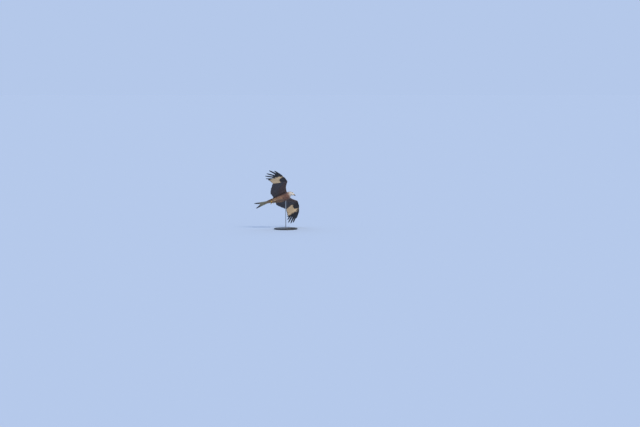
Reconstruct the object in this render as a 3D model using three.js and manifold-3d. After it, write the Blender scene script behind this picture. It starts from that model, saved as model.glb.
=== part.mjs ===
// A red kite in gliding flight, life size, banked to its left on a plain display stand.
// Sizes are in millimetres and angles in degrees. The bird is built level in its own frame, with +X forward,
// +Y to its left and +Z up from a point midway between its shoulder joints, and is then turned into its bank.
import * as THREE from "three";
import { mergeVertices } from "three/addons/utils/BufferGeometryUtils.js";
import Module from "manifold-3d";

const wasm = await Module();
wasm.setup();

const GAP = 0.3; // clear space between one piece and the next
const FEATHER_SEED = 11;

// How the bird is held
const BANK = 41;
const CLIMB = 19.5;
const HEADING = -1.8;
const SHOULDER_HEIGHT = 482;

// Stand
const BASE_RADIUS = 165;
const BASE_HEIGHT = 18;
const BASE_BEVEL = 4;
const BASE_SIDES = 40;
const ROD_RADIUS = 6;
const ROD_SIDES = 20;
const ROD_STEP = [-14, 28, -24]; // the point inside the torso that the rod aims at

// Body, as stations along a bent line from the tail root to the face.
// Each is [x, y, z, pitch, yaw, half width, height above the line, depth below it].
const BODY_SIDES = 20;
const BODY_LINE = [
  [-262, 0, -6, 0, 0, 8, 4, 5],
  [-226, 0, -8, 0, 0, 18, 9, 12],
  [-190, 0, -11, 0, 0, 27, 15, 19],
  [-150, 0, -15, 0, 0, 37, 24, 28],
  [-110, 0, -19, 0, 0, 46, 33, 37],
  [-70, 0, -22, 0, 0, 53, 41, 45],
  [-30, 0, -24, 0, 0, 58, 47, 50],
  [8, 0, -22, 2, 0, 57, 47, 51],
  [34, 0, -15, 6, 0, 50, 43, 46],
  [52, 0, -8, 4, 0, 41, 37, 38],
  [66, 0, -3, -6, 2, 32, 31, 30],
  [77, 1, -3, -21, 8, 26.5, 27, 25],
  [88, 4, -10, -37, 16, 24.5, 23.5, 21.5],
  [97, 7, -17.5, -40, 18, 20.5, 18.5, 17.5],
  [105, 9.5, -24, -40, 18, 14.5, 13, 13],
  [110.5, 11.3, -28.6, -40, 18, 10, 9.2, 9.6],
];
const TAIL_CUT = -166; // where the torso ends and the tail root begins
const NECK_CUTS = [
  { at: [44, 0, -10], pitch: 5, yaw: 0 },
  { at: [71, 0.5, -3], pitch: -12, yaw: 4 },
];

// Head, in a frame of its own: forward along the bill, left, and up
const HEAD_ORIGIN = [88, 4, -10];
const HEAD_PITCH = 40;
const HEAD_YAW = 18;
const EYE = { at: [9, 15.6, 3.6], radius: 7.2 };
const LID = { radius: 6.7, thick: 1.1, out: 3.2 };
const BROW = { at: [10, 19.2, 10.4], half: [10.5, 3.2, 2.2], droop: 14 };
const GAPE = { from: 11, to: 31.6, out: 14.6, level: -2.9, height: 0.8, depth: 3, turn: 26 };
const NOSTRIL = { at: [35.4, 7.6, 5.2], half: [2.1, 2.2, 1.1] };
const CERE_END = 38.5;
// Bill stations are [forward, up, pitch, half width, half height]
const UPPER_BILL = [
  [30.6, 3.4, 0, 9.4, 5.2],
  [36, 3.0, -3, 8.0, 5.0],
  [42, 2.4, -8, 6.6, 4.6],
  [48, 1.0, -18, 5.2, 4.0],
  [53.6, -1.8, -36, 3.9, 3.2],
  [57.6, -5.8, -56, 2.7, 2.4],
  [59.6, -10.2, -72, 1.6, 1.5],
  [60.4, -14.2, -80, 0.4, 0.4],
];
const LOWER_BILL = [
  [30.6, -5.6, 0, 7.8, 3.1],
  [38, -5.9, 0, 6.1, 2.9],
  [46, -6.3, 2, 4.2, 2.4],
  [52, -6.6, 6, 1.6, 1.0],
];
const BILL_SIDES = 10;
const EYE_DETAIL = 10;
const FACE_DETAIL = 8; // of the brows and nostrils

// Wings, drawn in plan for the left side: x forward, y outward
const SHOULDER = [0, 38];
const SWING = { left: 3, right: -2 }; // how far each wing is carried forward at the shoulder
const HAND_TURN = { left: -0.5, right: 2 }; // how far each hand is turned forward at the wrist
const WRIST = [94, 264];
const ARCH = [
  [30, 6],
  [70, 8],
  [150, 18],
  [245, 24],
  [350, 15],
  [460, 0],
  [560, -9],
  [680, -14],
]; // height of the wing's middle surface along the span
const CAMBER = 0.00009; // droop per square millimetre behind the leading edge
const LEADING_EDGE = [
  [34, 34],
  [71, 35],
  [115, 43],
  [160, 58],
  [205, 83],
  [235, 101],
  [250, 106],
  [300, 102],
  [340, 97],
  [362, 91],
  [384, 83],
];
// Flesh of the wing: [y, rear edge x, thickness]
const ARM_FLESH = [
  [30, -104, 34],
  [62, -92, 29],
  [105, -68, 22],
  [150, -46, 17],
  [178, -18, 15],
  [205, 20, 14],
  [235, 62, 13],
  [262, 86, 12],
];
const HAND_FLESH = [
  [244, 74, 12],
  [275, 76, 11.5],
  [315, 74, 10],
  [350, 73, 8],
  [382, 77, 3],
];
// Section of the flesh: share of the chord and of the thickness
const FLESH_SHAPE = [
  [0, 0],
  [0.06, 0.3],
  [0.28, 0.5],
  [0.65, 0.4],
  [1, 0.16],
  [1, -0.16],
  [0.65, -0.36],
  [0.28, -0.44],
  [0.06, -0.28],
];
const WRIST_CUT = { at: [91, 258], angle: 23 };
const CUT_REACH = 700; // how far the blocks that part the body reach

// Flight feathers. Angles are measured from straight back towards the wing tip.
const SECONDARY_COUNT = 10;
const TERTIAL_COUNT = 5;
const ULNA = { wrist: [88, 252], elbow: [-8, 180] };
const TERTIAL_ROOTS = { from: [-15, 170], to: [-38, 82] };
const SECONDARY = { angles: [21.5, -9], lengths: [193, 177] };
const TERTIAL = { angles: [-12, -20], lengths: [174, 140] };
const ARM_BOW = 0.03;
const VARY = { flight: 0.012, covert: 0.03 }; // how much feathers' lengths differ, as shares
const HAND_BONE = { wrist: [94, 264], end: [81, 361] };
const PRIMARY_ANGLES = {
  left: [24.5, 27.5, 31, 34.5, 38, 41.5, 46.5, 52.5, 58.5, 63.5],
  right: [24.5, 27.5, 30.5, 33.5, 36.5, 39.5, 48.5, 56, 64.5, 71.5],
}; // the left hand is held a little more closed
const PRIMARY_LENGTHS = [212, 220, 230, 244, 266, 306, 342, 342, 330, 240];
const PRIMARY_BOWS = [0.03, 0.03, 0.03, 0.03, 0.04, 0.05, 0.06, 0.08, 0.11, 0.16]; // how far each curves back
const PRIMARY_DROPS = [0, 0, 0, 2, 4, 8, 12, 12, -2, -9]; // how far each tip hangs below the wing's surface
const FIRST_FINGER = 5; // primaries from here outward are notched and stand apart

// Feather outlines: how far along, outer web width and inner web width
const FINGER_WEBS = [
  [0, 6, 6],
  [0.28, 10, 25],
  [0.52, 11, 27],
  [0.64, 8.2, 17.5],
  [0.82, 7.6, 15],
  [0.95, 5, 10],
  [1, 1.4, 2.4],
];
const PRIMARY_WEBS = [
  [0, 5, 7],
  [0.35, 13, 27],
  [0.86, 13, 25],
  [1, 4, 7],
];
const SECONDARY_WEBS = [
  [0, 5, 7],
  [0.35, 13, 25],
  [0.88, 13, 24],
  [1, 5, 8],
];
const COVERT_WEBS = [
  [0, 4, 4],
  [0.5, 11, 11],
  [0.86, 9, 9],
  [1, 3, 3],
];
const VANE_THICK = 0.7;
const SHAFT_THICK = { root: 2.2, tip: 0.9 };
const SECONDARY_TILT = 6;
const PRIMARY_TILT = 5;
const COVERT_TILT = 5;

// Covert tiers: how far ahead of the flight feathers' roots they grow, as a share of the way to the leading
// edge, how far they reach behind those roots, as a share of the flight feather below them, and their height
// over the wing's middle surface at the root and at the tip.
const ARM_TIERS = [
  { count: 10, ahead: 0.1, share: 0.43, root: 3, tip: 4.2 },
  { count: 8, ahead: 0.4, share: 0.24, root: 4.8, tip: 7 },
];
const HAND_TIERS = [
  { count: 8, ahead: 0.2, share: 0.4, root: 2.4, tip: 4 },
  { count: 5, ahead: 0.55, share: 0.21, root: 3, tip: 6.4 },
];
const ALULA = {
  root: [97, 268],
  angles: [74, 66, 58],
  lengths: [96, 80, 62],
  root_height: 2,
  height: 5.6,
  step: 1.3,
  wide: 0.8,
};

// Tail
const TAIL_YAW = 3.2; // the tail is carried a little to the bird's right
const TAIL_PIVOT = -170;
const TAIL_PAIRS = 6;
const TAIL_ROOT = { x: -178, spread: 1.7, z: -7.5 };
const TAIL_TIPS = { inner: [-388, 9], outer: [-458, 60], fork: 1.25, curve: 1.55 };
const TAIL_LAYER = 1.15; // height between one tail feather and the next
const TAIL_STAGGER = 0.5; // how many layers the right half lies lower
const TAIL_WEBS = [
  [0, 4, 5],
  [0.3, 8, 17],
  [0.7, 9, 20],
  [0.93, 8, 15],
  [1, 3, 4],
];
const TAIL_COVERTS = [
  { side: 1, count: 7, x: -186, half: 20, lengths: [92, 64], height: 2.5, depth: 0 },
  { side: -1, count: 7, x: -182, half: 21, lengths: [128, 92], height: -13, depth: TAIL_LAYER * TAIL_PAIRS },
];
const TAIL_COVERT = { wide: 1.1, fan: 0.25, sag: 5, lift: 2.2, step: 1.1 };

// Legs, folded back under the tail
const THIGH = [
  [-42, 28, -46, 9, 10],
  [-62, 31, -48, 15, 16],
  [-88, 31, -48, 17, 17],
  [-116, 28, -46, 13, 13],
  [-140, 24, -45, 8, 8],
  [-153, 22, -44.5, 5.5, 5.5],
]; // [x, y, z, half width, half height]
const THIGH_SIDES = 12;
const TARSUS = { from: [-154, 21.5, -44.4], to: [-203, 13, -33.5], radii: [4.6, 3.7, 4.6] };
// lean and curl are how far each toe points down where it starts, and how far it bends down after that
const TOES = [
  { name: "inner", turn: 13, length: 25, radius: 2.7, claw: 17, lean: -4, curl: 30 },
  { name: "middle", turn: -3, length: 38, radius: 2.9, claw: 16, lean: -6, curl: 30 },
  { name: "outer", turn: -21, length: 28, radius: 2.6, claw: 13, lean: -4, curl: 30 },
  { name: "hind", turn: 180, length: 15, radius: 2.8, claw: 17, lean: 52, curl: 20 },
];
const TOE_SHAPE = [1.1, 1, 1.08, 0.95]; // its radius along its run, as shares
const TOE_SIDES = 8;
const CURL_STEPS = 4;
const CLAW_CURL = 75;
const CLAW_RADII = [2.3, 1.8, 1.15, 0.3];
const CLAW_SIDES = 6;

// Colours, roughness and metalness of each finish
const FINISH = {
  body_plumage: [0x8a5433, 0.85, 0],
  head_plumage: [0xc9c3b6, 0.85, 0],
  flight_feathers: [0x3b322c, 0.7, 0],
  tail_feathers: [0xa8603a, 0.75, 0],
  bill_horn: [0x33302e, 0.4, 0],
  cere_skin: [0xe0b02a, 0.5, 0],
  eye: [0xd9c58a, 0.15, 0],
  foot_skin: [0xe3b530, 0.55, 0],
  claw_horn: [0x1c1a19, 0.35, 0],
  stand_base: [0x2b2a29, 0.5, 0],
  stand_rod: [0x9a9ca0, 0.35, 1],
};

const rad = THREE.MathUtils.degToRad;
const mix = THREE.MathUtils.lerp;
const at = (x, y, z) => new THREE.Vector3(x, y, z);

let draws = FEATHER_SEED;
// A seeded draw from -1 to 1, so that feathers differ a little and alike on each run
function vary() {
  draws = (draws * 16807) % 2147483647;
  return (draws / 2147483647) * 2 - 1;
}

// The value at s of a smooth curve through [s, value] pairs
function along(pairs, s) {
  const last = pairs.length - 1;
  let i = 0;
  while (i < last - 1 && s > pairs[i + 1][0]) {
    i++;
  }
  const slope = (k) => {
    const low = Math.max(0, k - 1);
    const high = Math.min(last, k + 1);
    return (pairs[high][1] - pairs[low][1]) / (pairs[high][0] - pairs[low][0]);
  };
  const width = pairs[i + 1][0] - pairs[i][0];
  const t = THREE.MathUtils.clamp((s - pairs[i][0]) / width, 0, 1);
  const rise = pairs[i + 1][1] - pairs[i][1];
  const a = slope(i) * width - rise;
  const b = rise - slope(i + 1) * width;
  return mix(pairs[i][1], pairs[i + 1][1], t) + t * (1 - t) * (a * (1 - t) + b * t);
}

// A closed solid from a closed geometry, with its faces turned to point out
function solidOf(geometry) {
  const merged = mergeVertices(geometry.clone().deleteAttribute("normal").deleteAttribute("uv"), 1e-4);
  const make = (index) =>
    new wasm.Manifold(
      new wasm.Mesh({
        numProp: 3,
        vertProperties: new Float32Array(merged.getAttribute("position").array),
        triVerts: new Uint32Array(index),
      }),
    );
  const solid = make(merged.index.array);
  return solid.volume() < 0 ? make(merged.index.array.toReversed()) : solid;
}

function solidFrom(points, triangles) {
  const geometry = new THREE.BufferGeometry().setFromPoints(points);
  return solidOf(geometry.setIndex(triangles.flat()));
}

function geometryOf(solid) {
  const mesh = solid.getMesh();
  const position = new Float32Array(mesh.numVert * 3);
  for (let i = 0; i < mesh.numVert; i++) {
    position.set(mesh.vertProperties.subarray(i * mesh.numProp, i * mesh.numProp + 3), i * 3);
  }
  const geometry = new THREE.BufferGeometry();
  geometry.setAttribute("position", new THREE.BufferAttribute(position, 3));
  geometry.setIndex(new THREE.BufferAttribute(new Uint32Array(mesh.triVerts), 1));
  geometry.computeVertexNormals();
  return geometry;
}

const joined = (solids) => solids.reduce((all, one) => all.add(one));

function largest(solid) {
  return solid.decompose().reduce((best, one) => (one.volume() > best.volume() ? one : best));
}

// A skin over rings of points, each ring closed, with a fan over each end
function loft(rings) {
  const sides = rings[0].length;
  const points = rings.flat();
  const triangles = [];
  for (let r = 0; r + 1 < rings.length; r++) {
    for (let i = 0; i < sides; i++) {
      const a = r * sides + i;
      const b = r * sides + ((i + 1) % sides);
      triangles.push([a, b, b + sides], [a, b + sides, a + sides]);
    }
  }
  const cap = (ring, first, flip) => {
    const middle = ring.reduce((sum, p) => sum.add(p), at(0, 0, 0)).divideScalar(sides);
    points.push(middle);
    for (let i = 0; i < sides; i++) {
      const edge = [first + i, first + ((i + 1) % sides)];
      triangles.push([points.length - 1, ...(flip ? edge.reverse() : edge)]);
    }
  };
  cap(rings[0], 0, true);
  cap(rings[rings.length - 1], (rings.length - 1) * sides, false);
  return solidFrom(points, triangles);
}

// Axes of a frame that looks along a pitch above the horizon and a yaw to the left
function axesOf(pitch, yaw) {
  const p = rad(pitch);
  const w = rad(yaw);
  const forward = at(Math.cos(p) * Math.cos(w), Math.cos(p) * Math.sin(w), Math.sin(p));
  const left = at(-Math.sin(w), Math.cos(w), 0);
  return { forward, left, up: forward.clone().cross(left) };
}

function ellipseRing(centre, axes, half, above, below, sides) {
  return Array.from({ length: sides }, (_, i) => {
    const a = (2 * Math.PI * i) / sides;
    const rise = Math.sin(a) * (Math.sin(a) > 0 ? above : below);
    return centre
      .clone()
      .addScaledVector(axes.left, half * Math.cos(a))
      .addScaledVector(axes.up, rise);
  });
}

// A thin plate from rows of points across it, each with a thickness; both faces are split alike
function plate(rows) {
  const across = rows[0].length;
  const points = rows.flatMap((row) =>
    [0.5, -0.5].flatMap((side) => row.map(([p, thick]) => at(p.x, p.y, p.z + side * thick))),
  );
  const corner = (r, c, face) => (2 * r + face) * across + c;
  const triangles = [];
  const quad = (a, b, c, d) => triangles.push([a, b, c], [a, c, d]);
  const last = rows.length - 1;
  const far = across - 1;
  for (let r = 0; r < last; r++) {
    for (let c = 0; c < far; c++) {
      const [a, b] = [corner(r, c, 0), corner(r, c + 1, 0)];
      const [d, e] = [corner(r + 1, c, 0), corner(r + 1, c + 1, 0)];
      triangles.push([a, b, e], [a, e, d]);
      triangles.push([a, e, b].map((k) => k + across), [a, d, e].map((k) => k + across));
    }
    quad(corner(r, 0, 0), corner(r + 1, 0, 0), corner(r + 1, 0, 1), corner(r, 0, 1));
    quad(corner(r, far, 1), corner(r + 1, far, 1), corner(r + 1, far, 0), corner(r, far, 0));
  }
  for (let c = 0; c < far; c++) {
    quad(corner(0, c, 0), corner(0, c, 1), corner(0, c + 1, 1), corner(0, c + 1, 0));
    quad(corner(last, c, 1), corner(last, c, 0), corner(last, c + 1, 0), corner(last, c + 1, 1));
  }
  return solidFrom(points, triangles);
}

const wingHeight = (x, y) => along(ARCH, y) - CAMBER * Math.max(0, along(LEADING_EDGE, y) - x) ** 2;

// A turn of the plan about a pivot that carries what lies outward of it forward
function swung([x, y], pivot, degrees) {
  const turn = rad(degrees);
  const [dx, dy] = [x - pivot[0], y - pivot[1]];
  return [
    pivot[0] + dx * Math.cos(turn) + dy * Math.sin(turn),
    pivot[1] - dx * Math.sin(turn) + dy * Math.cos(turn),
  ];
}

// From the left wing's plan and height to the bird's frame, for either side
function armPlace(side) {
  const mirror = side === "left" ? 1 : -1;
  return (x, y, z) => {
    const [forward, outward] = swung([x, y], SHOULDER, SWING[side]);
    return at(forward, mirror * outward, z);
  };
}

function handPlace(side) {
  const place = armPlace(side);
  return (x, y, z) => place(...swung([x, y], WRIST, HAND_TURN[side]), z);
}

// One wing feather. spec: root [x, y], angle, length, webs, height at root and tip, tilt, drop, shaft
function wingVane(place, spec) {
  const a = rad(spec.angle) + Math.atan(spec.bow ?? 0);
  const along2d = [-Math.cos(a), Math.sin(a)];
  const outer2d = [Math.sin(a), Math.cos(a)];
  const slope = Math.tan(rad(spec.tilt));
  const wide = spec.wide ?? 1;
  const rows = spec.webs.map(([t, outerWeb, innerWeb]) => {
    const bow = -(spec.bow ?? 0) * spec.length * t * t;
    const shaft = [0, 1].map((k) => spec.root[k] + along2d[k] * spec.length * t + outer2d[k] * bow);
    const height = mix(spec.heights[0], spec.heights[1], Math.min(1, 3 * t)) - (spec.drop ?? 0) * t * t;
    const point = (side) => {
      const x = shaft[0] + outer2d[0] * side;
      const y = shaft[1] + outer2d[1] * side;
      return place(x, y, wingHeight(x, y) + height + slope * side);
    };
    const edges = [point(outerWeb * wide), point(-innerWeb * wide)];
    if (!spec.shaft) return edges.map((p) => [p, VANE_THICK]);
    const middle = mix(SHAFT_THICK.root, SHAFT_THICK.tip, t);
    return [
      [edges[0], VANE_THICK],
      [point(0), middle],
      [edges[1], VANE_THICK],
    ];
  });
  return plate(rows);
}

// Flesh of a wing between the leading edge and a rear edge, as flattened rings across the span
function wingFlesh(place, stations) {
  const rings = stations.map(([y, rear, thick]) => {
    const front = along(LEADING_EDGE, y);
    return FLESH_SHAPE.map(([s, h]) => {
      const x = mix(front, rear, s);
      return place(x, y, wingHeight(x, y) + h * thick);
    });
  });
  return loft(rings);
}

const between = (ends, t) => [mix(ends[0][0], ends[1][0], t), mix(ends[0][1], ends[1][1], t)];

function secondaryRoots() {
  const roots = [];
  for (let i = 0; i < SECONDARY_COUNT; i++) {
    const t = i / (SECONDARY_COUNT - 1);
    roots.push({
      root: between([ULNA.wrist, ULNA.elbow], t),
      angle: mix(...SECONDARY.angles, t),
      length: mix(...SECONDARY.lengths, t),
    });
  }
  for (let i = 0; i < TERTIAL_COUNT; i++) {
    const t = i / (TERTIAL_COUNT - 1);
    roots.push({
      root: between([TERTIAL_ROOTS.from, TERTIAL_ROOTS.to], t),
      angle: mix(...TERTIAL.angles, t),
      length: mix(...TERTIAL.lengths, t),
    });
  }
  return roots;
}

function primaryRoots(side) {
  const last = PRIMARY_LENGTHS.length - 1;
  return PRIMARY_ANGLES[side].map((angle, i) => ({
    root: between([HAND_BONE.wrist, HAND_BONE.end], i / last),
    angle,
    length: PRIMARY_LENGTHS[i],
    bow: PRIMARY_BOWS[i],
    drop: PRIMARY_DROPS[i],
  }));
}

// One tier of coverts over or under a run of flight feathers, spread evenly along it
function covertTier(place, feathers, tier, face) {
  return Array.from({ length: tier.count }, (_, i) => {
    const s = ((i + 0.5) / tier.count) * (feathers.length - 1);
    const k = Math.min(feathers.length - 2, Math.floor(s));
    const [one, next] = [feathers[k], feathers[k + 1]];
    const t = s - k;
    const angle = mix(one.angle, next.angle, t);
    const root = between([one.root, next.root], t);
    const ahead = tier.ahead * (along(LEADING_EDGE, root[1]) - root[0]);
    root[0] += ahead * Math.cos(rad(angle));
    root[1] -= ahead * Math.sin(rad(angle));
    return wingVane(place, {
      root,
      angle: angle + vary(),
      length: ahead + tier.share * mix(one.length, next.length, t) * (1 + VARY.covert * vary()),
      webs: COVERT_WEBS,
      heights: [face * tier.root, face * tier.tip],
      tilt: COVERT_TILT,
    });
  });
}

function tiers(place, feathers, list) {
  return list.flatMap((tier) => [1, -1].flatMap((face) => covertTier(place, feathers, tier, face)));
}

function armPieces(place) {
  const feathers = secondaryRoots();
  const vanes = feathers.map((f) =>
    wingVane(place, {
      ...f,
      length: f.length * (1 + VARY.flight * vary()),
      webs: SECONDARY_WEBS,
      heights: [0, 0],
      tilt: SECONDARY_TILT,
      bow: ARM_BOW,
    }),
  );
  return [wingFlesh(place, ARM_FLESH), ...vanes, ...tiers(place, feathers, ARM_TIERS)];
}

function handPieces(place, side) {
  const feathers = primaryRoots(side);
  const vanes = feathers.map((f, i) =>
    wingVane(place, {
      ...f,
      webs: i < FIRST_FINGER ? PRIMARY_WEBS : FINGER_WEBS,
      heights: [0, 0],
      tilt: PRIMARY_TILT,
      shaft: true,
    }),
  );
  const alula = ALULA.angles.map((angle, i) =>
    wingVane(place, {
      root: ALULA.root,
      angle,
      length: ALULA.lengths[i],
      webs: COVERT_WEBS,
      heights: [ALULA.root_height, ALULA.height + i * ALULA.step],
      tilt: COVERT_TILT,
      wide: ALULA.wide,
    }),
  );
  return [wingFlesh(place, HAND_FLESH), ...vanes, ...tiers(place, feathers, HAND_TIERS), ...alula];
}

// A large block that fills one side of the cut through the wrist, to be taken away
function wristBlock(place, side) {
  const a = rad(WRIST_CUT.angle);
  const [x, y] = WRIST_CUT.at;
  const corner = (f, o, z) =>
    place(x - Math.cos(a) * f + Math.sin(a) * o, y + Math.sin(a) * f + Math.cos(a) * o, z);
  const near = (-side * GAP) / 2;
  const ring = (z) => [
    corner(-CUT_REACH, near, z),
    corner(CUT_REACH, near, z),
    corner(CUT_REACH, side * CUT_REACH, z),
    corner(-CUT_REACH, side * CUT_REACH, z),
  ];
  return loft([ring(-CUT_REACH), ring(CUT_REACH)]);
}

function wing(side, room) {
  const place = armPlace(side);
  const arm = joined(armPieces(place)).subtract(wristBlock(place, 1)).subtract(room);
  const hand = joined(handPieces(handPlace(side), side)).subtract(wristBlock(place, -1));
  return { arm: largest(arm), hand: largest(hand) };
}

// The whole body from tail root to face, grown by some room for cutting its neighbours
function bodyWhole(room = 0) {
  const rings = BODY_LINE.map(([x, y, z, pitch, yaw, half, above, below]) =>
    ellipseRing(at(x, y, z), axesOf(pitch, yaw), half + room, above + room, below + room, BODY_SIDES),
  );
  return loft(rings);
}

// A block ahead of a slanting cut (sign 1) or behind it (sign -1)
function block(centre, pitch, yaw, sign) {
  const axes = axesOf(pitch, yaw);
  const corner = (f, l, u) =>
    at(...centre)
      .addScaledVector(axes.forward, f)
      .addScaledVector(axes.left, l * CUT_REACH)
      .addScaledVector(axes.up, u * CUT_REACH);
  const ring = (f) => [corner(f, -1, -1), corner(f, 1, -1), corner(f, 1, 1), corner(f, -1, 1)];
  return loft([ring((-sign * GAP) / 2), ring(sign * CUT_REACH)]);
}

const cutAhead = (solid, cut) => solid.subtract(block(cut.at, cut.pitch, cut.yaw, 1));
const cutBehind = (solid, cut) => solid.subtract(block(cut.at, cut.pitch, cut.yaw, -1));
const tailCut = { at: [TAIL_CUT, 0, 0], pitch: 0, yaw: 0 };

const headAxes = axesOf(-HEAD_PITCH, HEAD_YAW);
function headPoint(forward, left, up) {
  return at(...HEAD_ORIGIN)
    .addScaledVector(headAxes.forward, forward)
    .addScaledVector(headAxes.left, left)
    .addScaledVector(headAxes.up, up);
}

function headBasis() {
  return new THREE.Matrix4().makeBasis(headAxes.forward, headAxes.left, headAxes.up);
}

function ball(centre, radius) {
  const sphere = new THREE.SphereGeometry(radius, EYE_DETAIL, EYE_DETAIL - 3).applyMatrix4(headBasis());
  return solidOf(sphere.translate(centre.x, centre.y, centre.z));
}

function headEllipsoid(spec, side) {
  const shape = new THREE.SphereGeometry(1, FACE_DETAIL, FACE_DETAIL - 3).scale(...spec.half);
  shape.rotateY(rad(spec.droop ?? 0)).applyMatrix4(headBasis());
  const centre = headPoint(spec.at[0], side * spec.at[1], spec.at[2]);
  return solidOf(shape.translate(centre.x, centre.y, centre.z));
}

function eyeCentre(side) {
  return headPoint(EYE.at[0], side * EYE.at[1], EYE.at[2]);
}

function lidRing(side) {
  const ring = new THREE.TorusGeometry(LID.radius, LID.thick, 5, 14);
  ring.rotateX(rad(90)).applyMatrix4(headBasis());
  const centre = headPoint(EYE.at[0], side * (EYE.at[1] + LID.out), EYE.at[2]);
  return solidOf(ring.translate(centre.x, centre.y, centre.z));
}

// The line of the mouth where it runs back into the cheek
function gapeSlot(side) {
  const box = new THREE.BoxGeometry(GAPE.to - GAPE.from, GAPE.depth * 2, GAPE.height);
  box.rotateZ(rad(-side * GAPE.turn)).applyMatrix4(headBasis());
  const centre = headPoint((GAPE.to + GAPE.from) / 2, side * GAPE.out, GAPE.level);
  return solidOf(box.translate(centre.x, centre.y, centre.z));
}

function head(body) {
  let solid = cutBehind(body, NECK_CUTS[1]);
  for (const side of [1, -1]) {
    solid = solid.add(headEllipsoid(BROW, side)).add(lidRing(side));
    solid = solid.subtract(ball(eyeCentre(side), EYE.radius + GAP)).subtract(gapeSlot(side));
  }
  return largest(solid);
}

function billRings(stations) {
  return stations.map(([forward, up, pitch, half, height]) => {
    const tilt = rad(pitch);
    const axes = {
      left: headAxes.left,
      up: headAxes.up
        .clone()
        .multiplyScalar(Math.cos(tilt))
        .addScaledVector(headAxes.forward, -Math.sin(tilt)),
    };
    return ellipseRing(headPoint(forward, 0, up), axes, half, height, height, BILL_SIDES);
  });
}

function bill() {
  const upper = loft(billRings(UPPER_BILL));
  const cut = { at: headPoint(CERE_END, 0, 0).toArray(), pitch: -HEAD_PITCH, yaw: HEAD_YAW };
  let cere = cutAhead(upper, cut);
  for (const side of [1, -1]) {
    cere = cere.subtract(headEllipsoid(NOSTRIL, side));
  }
  return { cere, upper: cutBehind(upper, cut), lower: loft(billRings(LOWER_BILL)) };
}

// From the tail drawn straight to the way it is carried
function tailPlace(x, y, z) {
  const turn = rad(TAIL_YAW);
  const dx = x - TAIL_PIVOT;
  const [c, s] = [Math.cos(turn), Math.sin(turn)];
  return at(TAIL_PIVOT + dx * c - y * s, dx * s + y * c, z);
}

function tailVane(side, i) {
  const share = i / (TAIL_PAIRS - 1);
  const root = [TAIL_ROOT.x, side * TAIL_ROOT.spread * (i + 0.5)];
  const tip = [
    mix(TAIL_TIPS.inner[0], TAIL_TIPS.outer[0], share ** TAIL_TIPS.fork),
    mix(TAIL_TIPS.inner[1], TAIL_TIPS.outer[1], share),
  ];
  const length = root[0] - tip[0];
  const level = TAIL_ROOT.z - TAIL_LAYER * (i + (side > 0 ? 0 : TAIL_STAGGER));
  const rows = TAIL_WEBS.map(([t, outerWeb, innerWeb]) => {
    const x = root[0] - length * t;
    const y = root[1] + (side * tip[1] - root[1]) * t ** TAIL_TIPS.curve;
    const fade = Math.min(1, 4 * t);
    const z = mix(TAIL_ROOT.z, level, fade);
    return [
      [tailPlace(x, y + side * outerWeb, z), VANE_THICK],
      [tailPlace(x, y, z), mix(SHAFT_THICK.root, SHAFT_THICK.tip, t)],
      [tailPlace(x, y - side * innerWeb, z), VANE_THICK],
    ];
  });
  return plate(rows);
}

function tailCovert(tier, i) {
  const s = (2 * (i + 0.5)) / tier.count - 1;
  const length = mix(tier.lengths[0], tier.lengths[1], s * s);
  const order = Math.abs(i - (tier.count - 1) / 2);
  const rows = COVERT_WEBS.map(([t, outerWeb, innerWeb]) => {
    const x = tier.x - length * t;
    const y = tier.half * s * (1 + TAIL_COVERT.fan * t);
    const start = tier.height - tier.side * s * s * TAIL_COVERT.sag;
    const lift = TAIL_COVERT.lift + TAIL_COVERT.step * ((tier.count + 1) / 2 - order);
    const z = mix(start, TAIL_ROOT.z - tier.depth + tier.side * lift, Math.sqrt(t));
    return [
      [tailPlace(x, y + outerWeb * TAIL_COVERT.wide, z), VANE_THICK],
      [tailPlace(x, y - innerWeb * TAIL_COVERT.wide, z), VANE_THICK],
    ];
  });
  return plate(rows);
}

function tail(body) {
  const row = (length, make) => Array.from({ length }, (_, i) => make(i));
  const vanes = [1, -1].flatMap((side) => row(TAIL_PAIRS, (i) => tailVane(side, i)));
  const coverts = TAIL_COVERTS.flatMap((tier) => row(tier.count, (i) => tailCovert(tier, i)));
  return largest(cutAhead(joined([cutAhead(body, tailCut), ...vanes, ...coverts]), tailCut));
}

// A round tapering limb along points that lie in one plane, its rings square to its run.
// left is the direction square to that plane.
function limb(points, radii, sides, left) {
  const curve = new THREE.CatmullRomCurve3(points);
  const rings = radii.map((r, i) => {
    const t = i / (radii.length - 1);
    const up = curve.getTangent(t).cross(left).normalize();
    return ellipseRing(curve.getPoint(t), { left, up }, r, r, r, sides);
  });
  return loft(rings);
}

function thigh(mirror, room) {
  const level = axesOf(0, 0);
  const rings = THIGH.map(([x, y, z, half, height]) =>
    ellipseRing(at(x, mirror * y, z), level, half, height, height, THIGH_SIDES),
  );
  return largest(loft(rings).subtract(room));
}

// Points along an arc that starts in the level direction given, leaning down, and curls further down
function curlPoints(start, level, length, lean, curl) {
  const points = [start.clone()];
  for (let i = 0; i < CURL_STEPS; i++) {
    const bend = rad(lean + (curl * (i + 0.5)) / CURL_STEPS);
    const step = level.clone().multiplyScalar(Math.cos(bend)).setZ(-Math.sin(bend));
    points.push(points[i].clone().addScaledVector(step, length / CURL_STEPS));
  }
  return points;
}

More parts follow.
